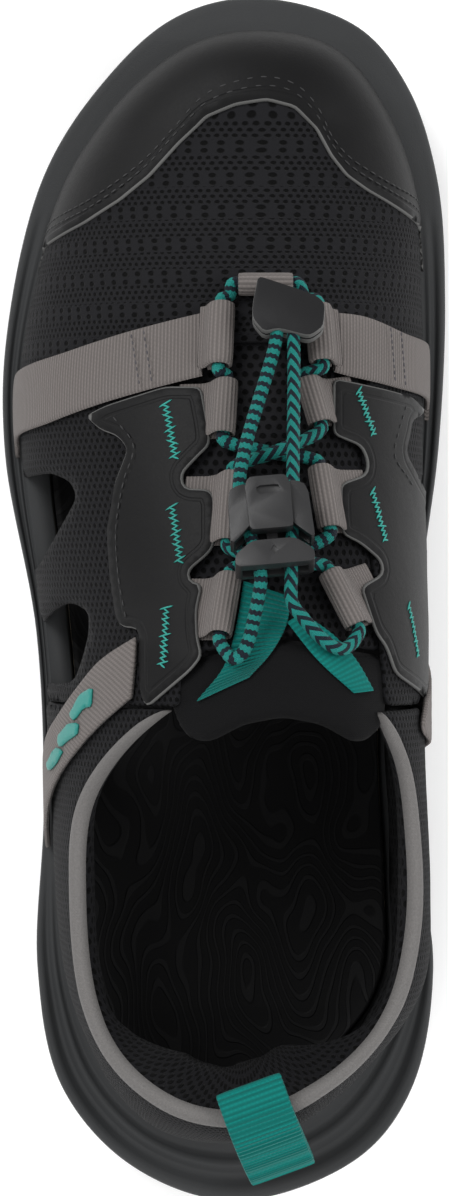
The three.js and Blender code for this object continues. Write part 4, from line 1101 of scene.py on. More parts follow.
# %% The instancer
def instancer():
    """A node tree that puts a shape on each point of a mesh and makes the copies real."""
    tree = bpy.data.node_groups.new("copies_on_points", "GeometryNodeTree")
    add = tree.interface.new_socket
    add("Points", in_out="INPUT", socket_type="NodeSocketGeometry")
    add("Shape", in_out="INPUT", socket_type="NodeSocketObject")
    add("Finish", in_out="INPUT", socket_type="NodeSocketMaterial")
    size = add("Size", in_out="INPUT", socket_type="NodeSocketVector")
    size.default_value = (1, 1, 1)
    jitter = add("Jitter", in_out="INPUT", socket_type="NodeSocketFloat")
    jitter.default_value = 0.0
    seed = add("Seed", in_out="INPUT", socket_type="NodeSocketInt")
    seed.default_value = 7
    add("Mesh", in_out="OUTPUT", socket_type="NodeSocketGeometry")
    new = tree.nodes.new
    source, sink = new("NodeGroupInput"), new("NodeGroupOutput")
    shape = new("GeometryNodeObjectInfo")
    copies = new("GeometryNodeInstanceOnPoints")
    solid = new("GeometryNodeRealizeInstances")
    finish = new("GeometryNodeSetMaterial")
    turn = new("FunctionNodeAxesToRotation")
    turn.primary_axis, turn.secondary_axis = "Z", "Y"
    grow = new("ShaderNodeVectorMath")
    grow.operation = "MULTIPLY"
    vary = new("FunctionNodeRandomValue")
    vary.data_type = "FLOAT"
    spread = new("ShaderNodeMath")
    spread.operation = "MULTIPLY_ADD"
    scaled = new("ShaderNodeVectorMath")
    scaled.operation = "SCALE"
    named = {}
    for key in ("facing", "heading", "amount"):
        named[key] = new("GeometryNodeInputNamedAttribute")
        named[key].data_type = "FLOAT_VECTOR"
        named[key].inputs["Name"].default_value = key
    link = tree.links.new
    link(source.outputs["Shape"], shape.inputs["Object"])
    link(source.outputs["Points"], copies.inputs["Points"])
    link(shape.outputs["Geometry"], copies.inputs["Instance"])
    link(named["facing"].outputs["Attribute"], turn.inputs["Primary Axis"])
    link(named["heading"].outputs["Attribute"], turn.inputs["Secondary Axis"])
    link(turn.outputs["Rotation"], copies.inputs["Rotation"])
    link(named["amount"].outputs["Attribute"], grow.inputs[0])
    link(source.outputs["Size"], grow.inputs[1])
    vary.inputs["Min"].default_value = -1.0
    vary.inputs["Max"].default_value = 1.0
    random = next(s for s in vary.outputs if s.type == "VALUE" and s.enabled)
    link(source.outputs["Seed"], vary.inputs["Seed"])
    link(random, spread.inputs[0])
    link(source.outputs["Jitter"], spread.inputs[1])
    spread.inputs[2].default_value = 1.0
    link(grow.outputs["Vector"], scaled.inputs[0])
    link(spread.outputs["Value"], scaled.inputs["Scale"])
    link(scaled.outputs["Vector"], copies.inputs["Scale"])
    link(copies.outputs["Instances"], solid.inputs["Geometry"])
    link(solid.outputs["Geometry"], finish.inputs["Geometry"])
    link(source.outputs["Finish"], finish.inputs["Material"])
    link(finish.outputs["Geometry"], sink.inputs["Mesh"])
    return tree


COPIES = instancer()
print("nodes in the instancer", len(COPIES.nodes))

# %% [markdown]
# ### Shapes and copies
#
# Two small shapes are repeated: an oval thread and a rounded block. The copies are made real and the
# modifier is removed, because the finished piece has to be plain mesh.

# %% Shapes and copies
def unit_shape(name, section, sides=8, rows=6, power=2.0):
    """A small closed shape 1 mm long along Y: an oval thread or a rounded block."""
    verts, faces = [], []
    for r in range(rows + 1):
        t = -1 + 2 * r / rows
        fat = max((1 - abs(t) ** power) ** (1 / power), 0.02)
        for k in range(sides):
            a = 2 * math.pi * (k + 0.5) / sides
            x, z = math.cos(a), math.sin(a)
            grow = (abs(x) ** section + abs(z) ** section) ** (-1 / section)
            verts.append((x * grow * fat / 2, t / 2, z * grow * fat / 2))
    faces = grid_faces(rows + 1, sides, closed=True)
    faces.append(tuple(range(sides)))
    faces.append(tuple(rows * sides + k for k in range(sides))[::-1])
    mesh = bpy.data.meshes.new(name)
    mesh.from_pydata([tuple(c * MM for c in v) for v in verts], [], faces)
    bm = bmesh.new()
    bm.from_mesh(mesh)
    bmesh.ops.recalc_face_normals(bm, faces=bm.faces)
    bm.to_mesh(mesh)
    bm.free()
    mesh.polygons.foreach_set("use_smooth", np.full(len(mesh.polygons), True))
    return bpy.data.objects.new(name, mesh)


THREAD_SHAPE = unit_shape("shape_thread", 2.0)
BLOCK_SHAPE = unit_shape("shape_block", 5.0, sides=12, rows=6, power=7.0)


def copies(name, shape, finish, points, facing, heading, amount, jitter=0.0, seed=7):
    """Real copies of a shape on points: facing is its Z, heading its Y, amount its size in mm."""
    points = np.asarray(points, float)
    n = len(points)
    mesh = bpy.data.meshes.new(name)
    mesh.from_pydata((points * MM).tolist(), [], [])
    for key, value in (("facing", facing), ("heading", heading), ("amount", amount)):
        data = np.broadcast_to(np.asarray(value, float), (n, 3)).astype(np.float32)
        mesh.attributes.new(key, "FLOAT_VECTOR", "POINT").data.foreach_set("vector", data.ravel())
    obj = bpy.data.objects.new(name, mesh)
    scene.collection.objects.link(obj)
    modifier = obj.modifiers.new("copies", "NODES")
    modifier.node_group = COPIES
    ids = {s.name: s.identifier for s in COPIES.interface.items_tree if s.in_out == "INPUT"}
    modifier[ids["Shape"]] = shape
    modifier[ids["Finish"]] = finish
    modifier[ids["Size"]] = (1.0, 1.0, 1.0)
    modifier[ids["Jitter"]] = float(jitter)
    modifier[ids["Seed"]] = int(seed)
    bpy.context.view_layer.update()
    graph = bpy.context.evaluated_depsgraph_get()
    real = bpy.data.meshes.new_from_object(obj.evaluated_get(graph))
    obj.modifiers.clear()
    obj.data = real
    real.name = name
    print(name, n, "copies,", len(real.polygons), "faces")
    return obj


def stitch_run(line, offset, length=1.6, pitch=2.4, thick=0.34):
    """Points, normals, headings and sizes for a row of stitches along a plan line."""
    flat = unroll(np.array(line, float))
    path = resample(spline(flat, closed=False) if len(flat) > 2 else flat, pitch)
    here = drape(path, offset)
    heading = np.gradient(here, axis=0)
    heading /= np.linalg.norm(heading, axis=1)[:, None]
    return here, normals_at(path, offset), heading, np.tile((thick, length, thick), (len(here), 1))


def stitches(name, runs, finish, jitter=0.06):
    parts = [np.vstack(p) for p in zip(*runs)]
    return copies(name, THREAD_SHAPE, finish, *parts, jitter=jitter)


# %% [markdown]
# ### Tread
#
# Trail sandals stand on rows of blocky lugs that wander a little from side to side. The lugs are copies
# of one rounded block, stretched to fill each row, and those too near the rim are left out.

# %% Tread lugs
LUG_ROWS, LUG_PITCH, FIRST_LUG, LAST_LUG = 25, 10.4, -126, 133
LUG_ROOT = 0.6                       # how far a lug reaches up into the sheet
LUG_MARGIN, LUG_WIDTH, LUG_LONG, LUG_SPACE = 4.2, 13, 7.2, 2.6
RIM_MARGIN = 6.5


def lug_points():
    """A wavy row of lugs across the sole at every step along it."""
    points, amounts = [], []
    for row in range(LUG_ROWS):
        y = FIRST_LUG + row * LUG_PITCH
        cx = float(ridge_x(np.array(np.clip(y, HEEL[1], TOE[1]))))
        lengths = [float(to_sole(np.array([cx]), np.array([y]), np.array([s]), np.array([0.0]))[0])
                   for s in (1.0, -1.0)]
        right, left = cx + lengths[0] - LUG_MARGIN, cx - lengths[1] + LUG_MARGIN
        count = max(int((right - left) / LUG_WIDTH), 3)
        pitch = (right - left) / count
        for c in range(count):
            x = left + pitch * (c + 0.5)
            shift = 2.2 * math.sin((x - cx) / 11.0)
            if abs(y + shift) > LAST_LUG:
                continue
            z = float(ground_rise(np.array(y + shift))) + (LUG + LUG_ROOT) / 2
            points.append((x, y + shift, z))
            amounts.append((pitch - LUG_SPACE, LUG_LONG, LUG + LUG_ROOT))
    return np.array(points), np.array(amounts)


lugs_at, lug_sizes = lug_points()
rim_far = distance_to(lugs_at[:, :2], [SOLE])
kept = inside(lugs_at[:, :2], SOLE) & (rim_far > RIM_MARGIN)
lugs = copies("tread_lugs", BLOCK_SHAPE, RUBBER, lugs_at[kept], (0, 0, 1), (0, 1, 0), lug_sizes[kept])
print("lugs", int(kept.sum()), "of", len(lugs_at))

# %% [markdown]
# ## Inside the shoe
#
# The foot stands on a cloth-covered footbed, moulded with a relief of contour lines. Round the heel the
# lining is a thick spacer mesh over foam, fullest along the edge of the foot opening. The tongue is
# padded mesh and ends in a smooth, soft band where it touches the ankle.

# %% Footbed
def footbed():
    """A cupped footbed, with a UV map laid on its plan for the contour lines."""
    shares = np.r_[np.linspace(0.0001, 0.8, 9), np.linspace(0.85, 1, 6)]
    low = lambda y, x: feather_z(y) - 1.9
    rows = [((RING.edge - 5.6) * f, low) for f in shares[::3]]
    for f in shares[::-1]:
        cup = 2.0 * (1 - (1 - f) ** 0.35) - 1.0 + 1.0 * f**6
        rows.append(((RING.edge - 5.6) * f, lambda y, x, c=cup: feather_z(y) + 0.6 + c))
    piece = loft("footbed_cloth", rows, INSOLE)
    verts = np.empty(len(piece.data.vertices) * 3)
    piece.data.vertices.foreach_get("co", verts)
    layer = piece.data.uv_layers.new(name="UVMap")
    index = np.empty(len(piece.data.loops), np.int32)
    piece.data.loops.foreach_get("vertex_index", index)
    layer.data.foreach_set("uv", (verts.reshape(-1, 3)[index, :2] * 1000).astype(np.float32).ravel())
    return piece


pieces = {}


def put(piece, body="shoe", replaces=()):
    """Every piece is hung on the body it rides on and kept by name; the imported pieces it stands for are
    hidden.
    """
    if replaces:
        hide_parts(*replaces)
    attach(piece, body)
    pieces[piece.name] = piece
    return piece


put(midsole, replaces=["midsole"])
put(tread, replaces=["outsole"])
put(lugs)
put(footbed(), replaces=["insole"])
def finish_packed(name, finish):
    """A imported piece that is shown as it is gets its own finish."""
    for material_slot in bpy.data.objects[name].material_slots:
        material_slot.material = finish


for name in ("shank", "lasting_board", "heel_counter", "toe_puff"):
    finish_packed(name, BOARD)
print("sole pieces", len(pieces))

# %% [markdown]
# ### Heel lining and foam
#
# Round the ankle the lining is pushed inwards by foam, most of all behind the heel. A cloth simulation
# could swell it, but a swelling written as a smooth rule of the distance below the collar is steadier and
# meets the footbed cleanly.

# %% Heel lining
def wave(points, scale, amount, seed=0.0):
    """A slow uneven rise over flat pattern points, for cloth over foam."""
    x, y = points[:, 0] * scale + seed, points[:, 1] * scale + seed * 1.7
    return amount * (np.sin(x + 1.3 * np.sin(0.7 * y)) + np.sin(1.1 * y + 1.1 * np.sin(0.9 * x))) / 2


COLLAR_BACK = COLLAR[COLLAR[:, 1] < -24.0]
first = int(np.argmax(np.diff(np.r_[COLLAR_BACK[-1:, 1], COLLAR_BACK[:, 1]]) > 20))
COLLAR_BACK = np.roll(COLLAR_BACK, -first, axis=0)


def collar_strip(below, step=1.0):
    """The collar line in the flat pattern, moved down the wall by a length."""
    s = Spokes(unroll(resample(COLLAR_BACK, step)))
    return s.at(np.minimum(s.far + below, s.arc))


def heel_lining():
    """A closed padded skin from the foot opening down to the footbed, on the inner side."""
    drops = np.array([0.0, 0.7, 1.8, 3.5, 6, 9, 13, 18, 24, 31, 39, 48, 58, 70])
    inner, outer, flats = [], [], []
    for d in drops:
        flat = collar_strip(d)
        back = np.clip((-flat[:, 1] - 92) / 30, 0, 1)
        full = (2.2 + 10.5 * back) * np.exp(-((d - 9.0 - 4 * back) / (7.0 + 2 * back)) ** 2)
        full = full * (1 - np.exp(-d / 3.0))
        offset = -1.7 - 2.2 * (1 - np.exp(-d / 1.2)) - full - wave(flat, 0.16, 0.35)
        flats.append(flat)
        inner.append(drape(flat, offset))
        outer.append(drape(flat, -1.5 - 0.8 * (1 - np.exp(-d))))
    top, low = np.array(outer).transpose(1, 0, 2), np.array(inner).transpose(1, 0, 2)
    uv = np.array(flats).transpose(1, 0, 2).reshape(-1, 2)
    return closed_band("collar_lining_padded", top, low, LINING, uv)


lining = put(heel_lining(), replaces=["heel_lining"])


def collar_pad():
    """The foam behind the lining, along the upper half of the heel wall."""
    rows = [collar_strip(d) for d in (1.2, 2.5, 5, 9, 14, 19)]
    top = np.array([drape(f, -0.35) for f in rows]).transpose(1, 0, 2)
    low = np.array([drape(f, -1.3) for f in rows]).transpose(1, 0, 2)
    uv = np.array(rows).transpose(1, 0, 2).reshape(-1, 2)
    return closed_band("collar_foam_padded", top, low, SOCK, uv)


pad = put(collar_pad(), replaces=["collar_padding"])
print("lining faces", len(lining.data.polygons))

# %% [markdown]
# ### Tongue
#
# The tongue is one padded panel of open spacer mesh under the laces, with a smooth knit edge where it
# touches the ankle. Both are cut pieces with a puff that fades out at the seam.

# %% Tongue
def soft(full, reach):
    """A padded rise: nothing at the rim and full from reach inwards, with slow unevenness."""
    return lambda flat, rim: full * (1 - np.exp(-rim / reach)) + wave(flat, 0.2, 0.25)


tongue = put(cut_piece("tongue_padded", [
    (-7, 66), (28, 66), (37, 20), (37, -12), (13, -8), (-14, -14), (-13, 20)],
    -2.6, -0.7, SPACER, corner=3, bevel=0.8, puff=soft(0.25, 2.0)), replaces=["tongue"])
tongue_edge = put(cut_piece("tongue_collar_padded", [
    (-14, -14.8), (13, -8.8), (37, -12.8), (36.4, -24), (34.5, -30.5), (30, -31.6), (22, -27.4),
    (13, -25.8), (4, -27.4), (-4, -31.4), (-9.4, -30.4), (-12, -24)],
    -3.4, -1.1, NEOPRENE, corner=2.5, bevel=1.3, seam_drop=0.9, spacing=1.4,
    puff=soft(1.3, 1.6)), replaces=["tongue_collar"])
print("inside pieces", len(pieces))

# %% [markdown]
# ## The outer layers
#
# Mesh covers the toes, the sides and the heel. Smooth film is welded over it as a toe cap and as the
# two stays that hold the lacing. The side walls have open windows, with arms of mesh between them. Film
# is cut with a hot knife, which leaves a pale rim, and lightly embossed along its edges.

# %% Outer mesh
VAMP_EDGE = [(-60, 42), (-20, 53.5), (0, 57), (20, 57), (60, 49)]
WINDOW_FRONT = [(-60, 30), (-46, 27.8), (-39, 28.6), (-34, 26.5), (-32.3, 22.8), (-35, 18),
                (-39, 11.5), (-42, 7), (-60, 0)]
WINDOW_REAR = [(-60, -6), (-42, -6.5), (-38, -2.6), (-34, -0.8), (-29.5, -2.8), (-29.4, -8),
               (-31, -14), (-33, -19), (-60, -22)]


def arch(y0, y1, top):
    t = np.linspace(0, 1, 9)[:, None]
    a, b, mid = np.array([y0, top - 12.0]), np.array([y1, top - 12.0]), (y0 + y1) / 2
    left = (1 - t) ** 2 * a + 2 * t * (1 - t) * (y0, top) + t * t * (mid, top)
    right = (1 - t) ** 2 * (mid, top) + 2 * t * (1 - t) * (y1, top) + t * t * b
    return np.vstack([[(y0, 10)], left, right[1:], [(y1, 10)]])


MEDIAL_ARCHES = [arch(10, 27, 46), arch(-9, 4, 46)]


def mesh_panel(node, outline, finish, **cut):
    """A panel of outer mesh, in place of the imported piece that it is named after."""
    panel = cut_piece(f"{node}_cloth", outline, MESH_IN, MESH_OUT, finish, **cut)
    put(panel, replaces=[node])


mesh_panel("vamp_mesh", [(60, 150), (-60, 150)] + VAMP_EDGE, VAMP_MESH, corner=1,
           puff=lambda f, r: wave(f, 0.09, 0.35) + 0.35)
mesh_panel("quarter_mesh_lateral", [
    (-60, 41.6), (-20, 53.1), (-13, 54.6), (-9, 30), (-9, -23.6), (-60, -23.6)], SIDE_MESH,
    holes=[WINDOW_FRONT, WINDOW_REAR])
mesh_panel("quarter_mesh_medial", [
    (60, 48.6), (38, 53), (32, 54), (31, 30), (34, -6), (35, -23.6), (60, -23.6)], SIDE_MESH,
    side_holes=MEDIAL_ARCHES)
mesh_panel("heel_mesh", [(-60, -24), (-60, -150), (60, -150), (60, -24)]
           + [tuple(p) for p in COLLAR_BACK], SIDE_MESH, corner=1,
           puff=lambda f, r: wave(f, 0.12, 0.3) + 0.2)
print("with the outer mesh", len(pieces), "pieces")

# %% [markdown]
# ### Welded film
#
# The toe cap and the stays are thin film welded on the mesh, cut hot so that the edge is pale. They are
# cut pieces of their own, one layer further out, with the edge faces in a second material.

# %% Film
TOE_CAP = [(60, 150), (-60, 150), (-60, 76), (-40, 81), (-30, 85.6), (-22, 90.6), (-15.5, 96),
           (-9, 103.5), (-3, 109.4), (3.4, 111.9), (10, 112.8), (15.7, 111.4), (20.3, 107),
           (23.6, 100.5), (27, 96), (31.5, 92.8), (37.5, 89.6), (43, 86.6), (60, 76)]
LATERAL_STAY = [
    (-4.2, 47), (-2.6, 38), (-2.2, 34), (-5.2, 31), (-8.4, 27.4), (-7.8, 24.2), (-2.6, 24),
    (-1.3, 22.4), (-1.3, 11.6), (-2.6, 9.6), (-6.8, 6), (-6.4, 3.6), (-3.8, 3), (-5, -2.6),
    (-4.8, -8.5), (-3.8, -12.6), (-6.3, -15.8), (-11.5, -20.4), (-15.5, -24), (-17, -20.6),
    (-17.3, -6.6), (-20.9, -6.6), (-22.4, -4), (-23.8, 5.3), (-24.5, 15), (-22.8, 25.8),
    (-20, 33.2), (-22.2, 36.2), (-26, 37.6), (-29.5, 41), (-25, 43.2), (-12, 47.2)]
MEDIAL_STAY = [
    (23.9, 49), (36.4, 46.8), (41.5, 45.8), (45, 43), (41, 40.2), (40.6, 37), (39.5, 33),
    (43, 26.6), (45.6, 22.4), (47.4, 14), (48, 5.6), (50, 0.4), (46.4, -3), (45, -10), (45, -24),
    (42, -20.6), (36.6, -16.6), (34.6, -10.6), (32.6, -7.9), (31.6, -4.8), (29.4, 2.4),
    (34.2, 5.3), (33.8, 8.2), (29.5, 12), (25.5, 14), (25.2, 25.2), (30.8, 27.4), (31.2, 30.3),
    (29.8, 33.8), (23.8, 36.2)]


def film_panel(node, outline, **cut):
    """A panel of welded film with a pale cut edge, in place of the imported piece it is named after."""
    panel = cut_piece(f"{node}_film", outline, FILM_IN, FILM_OUT, FILM, CUT_EDGE, **cut)
    put(panel, replaces=[node])


film_panel("toe_cap", TOE_CAP, corner=1, puff=lambda f, r: wave(f, 0.1, 0.15))
film_panel("eyestay_lateral", LATERAL_STAY, corner=1.6, spacing=1.4)
film_panel("eyestay_medial", MEDIAL_STAY, corner=1.6, spacing=1.4, side_holes=MEDIAL_ARCHES)
print("with the film", len(pieces), "pieces")

# %% [markdown]
# ### Collar binding
#
# A strip of soft grey knit is folded over the raw edge of the foot opening, and caps the mesh, the foam
# and the lining. It is a rounded profile swept round the collar line, a little wider behind the heel.

# %% Collar binding
def collar_binding():
    """A rounded profile swept along the collar line, thinning out at its two ends."""
    line = collar_strip(0.0)
    count = len(line)
    s = Spokes(line)
    wide = 1 + 0.55 * np.clip((-s.cy - s.uy * s.far - 80) / 30, 0, 1)
    ends = np.minimum(np.arange(count), np.arange(count)[::-1]) / 6.0
    wide = wide * np.clip(ends, 0.0, 1.0) ** 0.4
    profile = [(1.9, 1.45), (1.3, 1.85), (0.3, 2.0), (-0.7, 1.8), (-1.5, 1.2), (-1.9, 0.3),
               (-1.8, -0.7), (-1.2, -1.5), (-0.2, -1.9), (0.8, -1.9), (1.4, -1.6), (0.7, -1.2),
               (-0.1, -0.9), (-0.6, -0.3), (-0.5, 0.5), (0.0, 1.0), (0.8, 1.25)]
    rows = []
    for drop, offset in spline(profile, per=2):
        rows.append(drape(s.at(np.minimum(s.far + drop * wide, s.arc)), offset))
    grid = np.array(rows).transpose(1, 0, 2)
    n, k = grid.shape[:2]
    faces = grid_faces(n, k, closed=True)
    faces += [tuple(range(k))[::-1], tuple((n - 1) * k + i for i in range(k))]
    along = np.repeat(np.arange(n) * 1.0, k)
    uv = np.column_stack([np.tile(np.arange(k) * 0.6, n), along])
    return make_object("collar_binding_knit", grid.reshape(-1, 3), faces, [BINDING], uv)


put(collar_binding(), replaces=["collar_binding"])
print("upper pieces", len(pieces))

# %% [markdown]
# ## Webbing
#
# The straps are one width of woven tape. They run from the sole, over the forefoot, and fold back under
# themselves round the cord. Three short loops a side and one across the toes do the same. Each is built
# from rows of points across the tape: first along the upper, then round the cord.

# %% Tape round a cord
CORD_R = 1.5
REST, ON_MESH = 2.85, 4.25           # heights of a tunnel's middle over the tongue and over the mesh
TAPE_COLUMNS = 13
LOOP_THICK, FRONT_LOOP_THICK, STRAP_THICK = 0.85, 1.0, 1.3
TAIL_FROM, TAIL_BLEND = 3.6, 1.5     # where a loop's tail starts to lie along the surface


def seat(front, rear, rise):
    """The middle, outward direction and run of a tunnel that lies between two plan points."""
    a, b = np.array(front, float), np.array(rear, float)
    mx, my = (a + b) / 2
    slope_x = (over(mx + 2, my)[2] - over(mx - 2, my)[2]) / 4
    slope_y = (over(mx, my + 2)[2] - over(mx, my - 2)[2]) / 4
    normal = np.array([-slope_x, -slope_y, 1.0])
    normal /= np.linalg.norm(normal)
    run = np.array([*(a - b), 0.0])
    run -= normal * (run @ normal)
    run /= np.linalg.norm(run)
    half = np.linalg.norm(a - b) / 2 / np.hypot(run[0], run[1])
    return over(mx, my) + normal * rise, normal, run, half


SEATS = {
    "front": seat((15.7, 68.7), (3.4, 68.7), ON_MESH),
    "lateral_strap": seat((0, 64.4), (0, 50.2), ON_MESH),
    "medial_strap": seat((20.6, 64), (20.2, 51), ON_MESH),
    "lateral_front": seat((0.9, 47.4), (0.9, 35.2), REST),
    "lateral_middle": seat((2.2, 26.6), (2.2, 11.4), REST),
    "lateral_rear": seat((1.3, 3.8), (1.1, -9.4), REST),
    "medial_front": seat((18.4, 47.8), (20.2, 37.4), REST),
    "medial_middle": seat((21.2, 28), (21.6, 14), REST),
    "medial_rear": seat((23, 5), (27, -7.6), REST),
}
LOOP_PATH = [(10.5, -1.95), (8, -1.95), (5.4, -1.8), (3.9, -1.0), (2.6, 0.6), (1.2, 1.95), (-0.4, 2.15),
             (-1.8, 1.3), (-2.2, -0.3), (-1.6, -1.7), (-0.2, -2.3), (2, -2.55), (5.4, -2.75),
             (8, -2.8), (10.5, -2.8)]
STRAP_PATH = [(4.4, -1.75), (3.5, -1.2), (2.6, 0.3), (1.6, 1.75), (0.2, 2.35), (-1.4, 1.95),
              (-2.35, 0.6), (-2.2, -1.0), (-1.0, -2.1), (0.6, -2.3), (1.9, -2.3), (2.8, -2.4)]


def round_cord(key, path, side, level, step=0.35):
    """Rows of a tape round the cord: away from the stay at the first row, then back under itself."""
    centre, normal, run, half = SEATS[key]
    across = np.cross(run, normal) * side
    path = resample(spline(path, closed=False), step)
    spread = (2 * over_width(TAPE_COLUMNS) - 1) * -half
    grid = (centre + path[:, :1, None] * across + path[:, 1:, None] * normal
            + spread[None, :, None] * run)
    slope = np.gradient(path, axis=0)
    slope /= np.linalg.norm(slope, axis=1)[:, None]
    up = -slope[:, 1:, None] * across + slope[:, :1, None] * normal
    up = np.repeat(-up, TAPE_COLUMNS, axis=1)
    for k in np.where(path[:, 0] > TAIL_FROM)[0]:
        blend = min((path[k, 0] - TAIL_FROM) / TAIL_BLEND, 1.0)
        flat = unroll(grid[k, :, :2])
        on = drape(flat, path[k, 1] + level)
        grid[k] = grid[k] * (1 - blend) + on * blend
    return grid, up


def lace_loop(key, side):
    """One loop of tape round the cord, with its two tails towards the stay."""
    grid, up = round_cord(key, LOOP_PATH, side, REST)
    piece = loft_band(f"loop_{key}_webbing", grid, up, LOOP_THICK, WEBBING, band_uv(grid))
    put(piece, replaces=[f"lace_loop_{key}"])


for row in ("front", "middle", "rear"):
    lace_loop(f"lateral_{row}", -1)
    lace_loop(f"medial_{row}", 1)
print("with the lace loops", len(pieces), "pieces")

# %% [markdown]
# ### Front loop and forefoot straps
#
# The straps come up from the sole, turn round the cord and end under themselves. The part on the upper
# and the part round the cord are built as rows with the same width, joined by a short blend, so that the
# ribs run on without a seam.

# %% Front loop and forefoot straps
def front_loop():
    """A short tape across the toe end of the lacing, folded back towards the toes."""
    centre, normal, run, half = SEATS["front"]
    ahead = np.cross(run, normal)
    ahead = ahead if ahead[1] > 0 else -ahead
    path = [(2.3, -2.6), (2.4, -1.7), (2.3, -0.5), (1.7, 0.9), (0.5, 2.1), (-1.2, 1.9), (-2.2, 0.4),
            (-1.9, -1.2), (-0.8, -2.1), (0.3, -2.5), (1.4, -2.6)]
    path = resample(spline(path, closed=False), 0.35)
    spread = (2 * over_width(TAPE_COLUMNS) - 1) * half
    grid = (centre + path[:, :1, None] * ahead + path[:, 1:, None] * normal
            + spread[None, :, None] * run)
    slope = np.gradient(path, axis=0)
    slope /= np.linalg.norm(slope, axis=1)[:, None]
    up = np.repeat(slope[:, 1:, None] * ahead - slope[:, :1, None] * normal, TAPE_COLUMNS, axis=1)
    piece = loft_band("front_loop_webbing", grid, up, FRONT_LOOP_THICK, WEBBING, band_uv(grid))
    return put(piece, replaces=["front_loop"])


front_loop()
STRAP_EDGES = {
    "lateral": ([(-51, 48.8), (-47.5, 50.3), (-34, 55.8), (-18, 60.4), (-4, 63.8)],
                [(-51, 32.6), (-46.3, 35.2), (-37.6, 39.8), (-24, 44.2), (-11.4, 47.6), (-4, 49.4)]),
    "medial": ([(51.4, 54), (45.4, 57.2), (39, 60.4), (30.4, 63.4), (24, 64)],
               [(51.4, 41.4), (46.2, 44), (37, 47.6), (27, 49.6), (24, 50.4)]),
}
STRAP_MIDDLE = 2.25
HEEL_STRAP_MIDDLE = STRAP_MIDDLE + GAP


def forefoot_strap(where, side):
    """A strap over the forefoot that ends in a loop round the cord."""
    front, rear = STRAP_EDGES[where]
    grid, up = surface_rows(front, rear, STRAP_MIDDLE)
    ring, ring_up = round_cord(f"{where}_strap", STRAP_PATH, side, ON_MESH)
    if np.linalg.norm(ring[0, 0] - grid[-1, 0]) > np.linalg.norm(ring[0, -1] - grid[-1, 0]):
        ring, ring_up = ring[:, ::-1], ring_up[:, ::-1]
    ring_up = ring_up * np.sign((ring_up[0] * up[-1]).sum())
    t = np.linspace(0, 1, 8)[1:-1, None, None]
    join = grid[-1] * (1 - t) + ring[0] * t
    join_up = up[-1] * (1 - t) + ring_up[0] * t
    grid = np.vstack([grid, join, ring])
    up = np.vstack([up, join_up, ring_up])
    up /= np.linalg.norm(up, axis=2)[..., None]
    if np.cross(grid[10, 6] - grid[9, 6], grid[10, 7] - grid[10, 6]) @ up[10, 6] > 0:
        grid, up = grid[:, ::-1], up[:, ::-1]
    piece = loft_band(f"forefoot_strap_{where}_webbing", grid, up, STRAP_THICK, WEBBING, band_uv(grid))
    return put(piece, replaces=[f"forefoot_strap_{where}"])


forefoot_strap("lateral", -1)
forefoot_strap("medial", 1)
print("with the forefoot straps", len(pieces), "pieces")

# %% [markdown]
# ### Heel straps, badge and ribbed tapes
#
# Twill straps brace the heel on both sides. A soft raised badge is pressed on the outer one, kept here as
# three plain bars. Two ribbed tapes hold the tongue at the instep, with ribs as real relief because they
# catch the light.

# %% Heel straps, badge and ribbed tapes
put(surface_band("heel_strap_lateral_webbing",
                 [(-17.7, -8.6), (-25, -13.6), (-30, -19.6), (-34.4, -26), (-38, -33), (-41, -41),
                  (-46, -49)],
                 [(-18.6, -22), (-22.6, -25.6), (-27.2, -30.2), (-30.8, -34.6), (-34.4, -39.8),
                  (-37.6, -48.6), (-42, -58)], HEEL_STRAP_MIDDLE, STRAP_THICK, TWILL),
    replaces=["heel_strap_lateral"])
put(surface_band("heel_strap_medial_webbing",
                 [(45.6, -10.6), (48, -14), (50, -24), (52, -46)],
                 [(43.0, -23), (42.2, -29), (43.4, -38), (48, -50)], HEEL_STRAP_MIDDLE, STRAP_THICK, TWILL),
    replaces=["heel_strap_medial"])
BADGE_BARS = [
    [(-26.2, -19.6), (-29.0, -21.4), (-31.4, -26.2), (-30.2, -27.4), (-28.2, -24.4), (-26.4, -24.0)],
    [(-29.2, -27.6), (-31.6, -28.0), (-34.0, -31.0), (-33.6, -33.8), (-31.6, -31.8), (-29.4, -30.2)],
    [(-32.6, -34.0), (-34.6, -33.6), (-36.6, -37.4), (-36.2, -39.4), (-34.4, -37.4)],
]
for k, bar in enumerate(BADGE_BARS):
    put(cut_piece(f"badge_bar_{k + 1}", bar, 3.3, 3.9, BADGE, corner=0.5, spacing=0.9, bevel=0.25),
        replaces=["strap_badge"] if k == 0 else ())
TAPE_RIBS = rib_rule(1.15, 0.12)
put(surface_band("gusset_tape_lateral_ribbed",
                 [(4.6, 3.6), (3.2, -5), (0.4, -14.8), (-5.4, -22.4)],
                 [(14.8, 0), (13.8, -6), (10.6, -11.8), (6, -17)], 0.75, 0.9, TEAL_WEB, TAPE_RIBS,
                 step=0.14), replaces=["gusset_tape_lateral"])
put(surface_band("gusset_tape_medial_ribbed",
                 [(17.4, -3.4), (24.4, -8.6), (28.6, -13.4), (32.4, -20.2)],
                 [(14.0, -5.4), (19, -11.8), (22.4, -15.4), (28.2, -20.6)], 0.75, 0.9, TEAL_WEB,
                 TAPE_RIBS, step=0.14), replaces=["gusset_tape_medial"])
print("webbing pieces", len(pieces))

# %% [markdown]
# ## The cord and its lock
#
# One elastic cord runs the whole lacing and comes back up through the lock to a folded patch that keeps
# its ends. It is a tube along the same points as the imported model, with a braided cover. The lock is two
# mouldings: a housing, and a sprung button that clamps the strands until it is pressed.

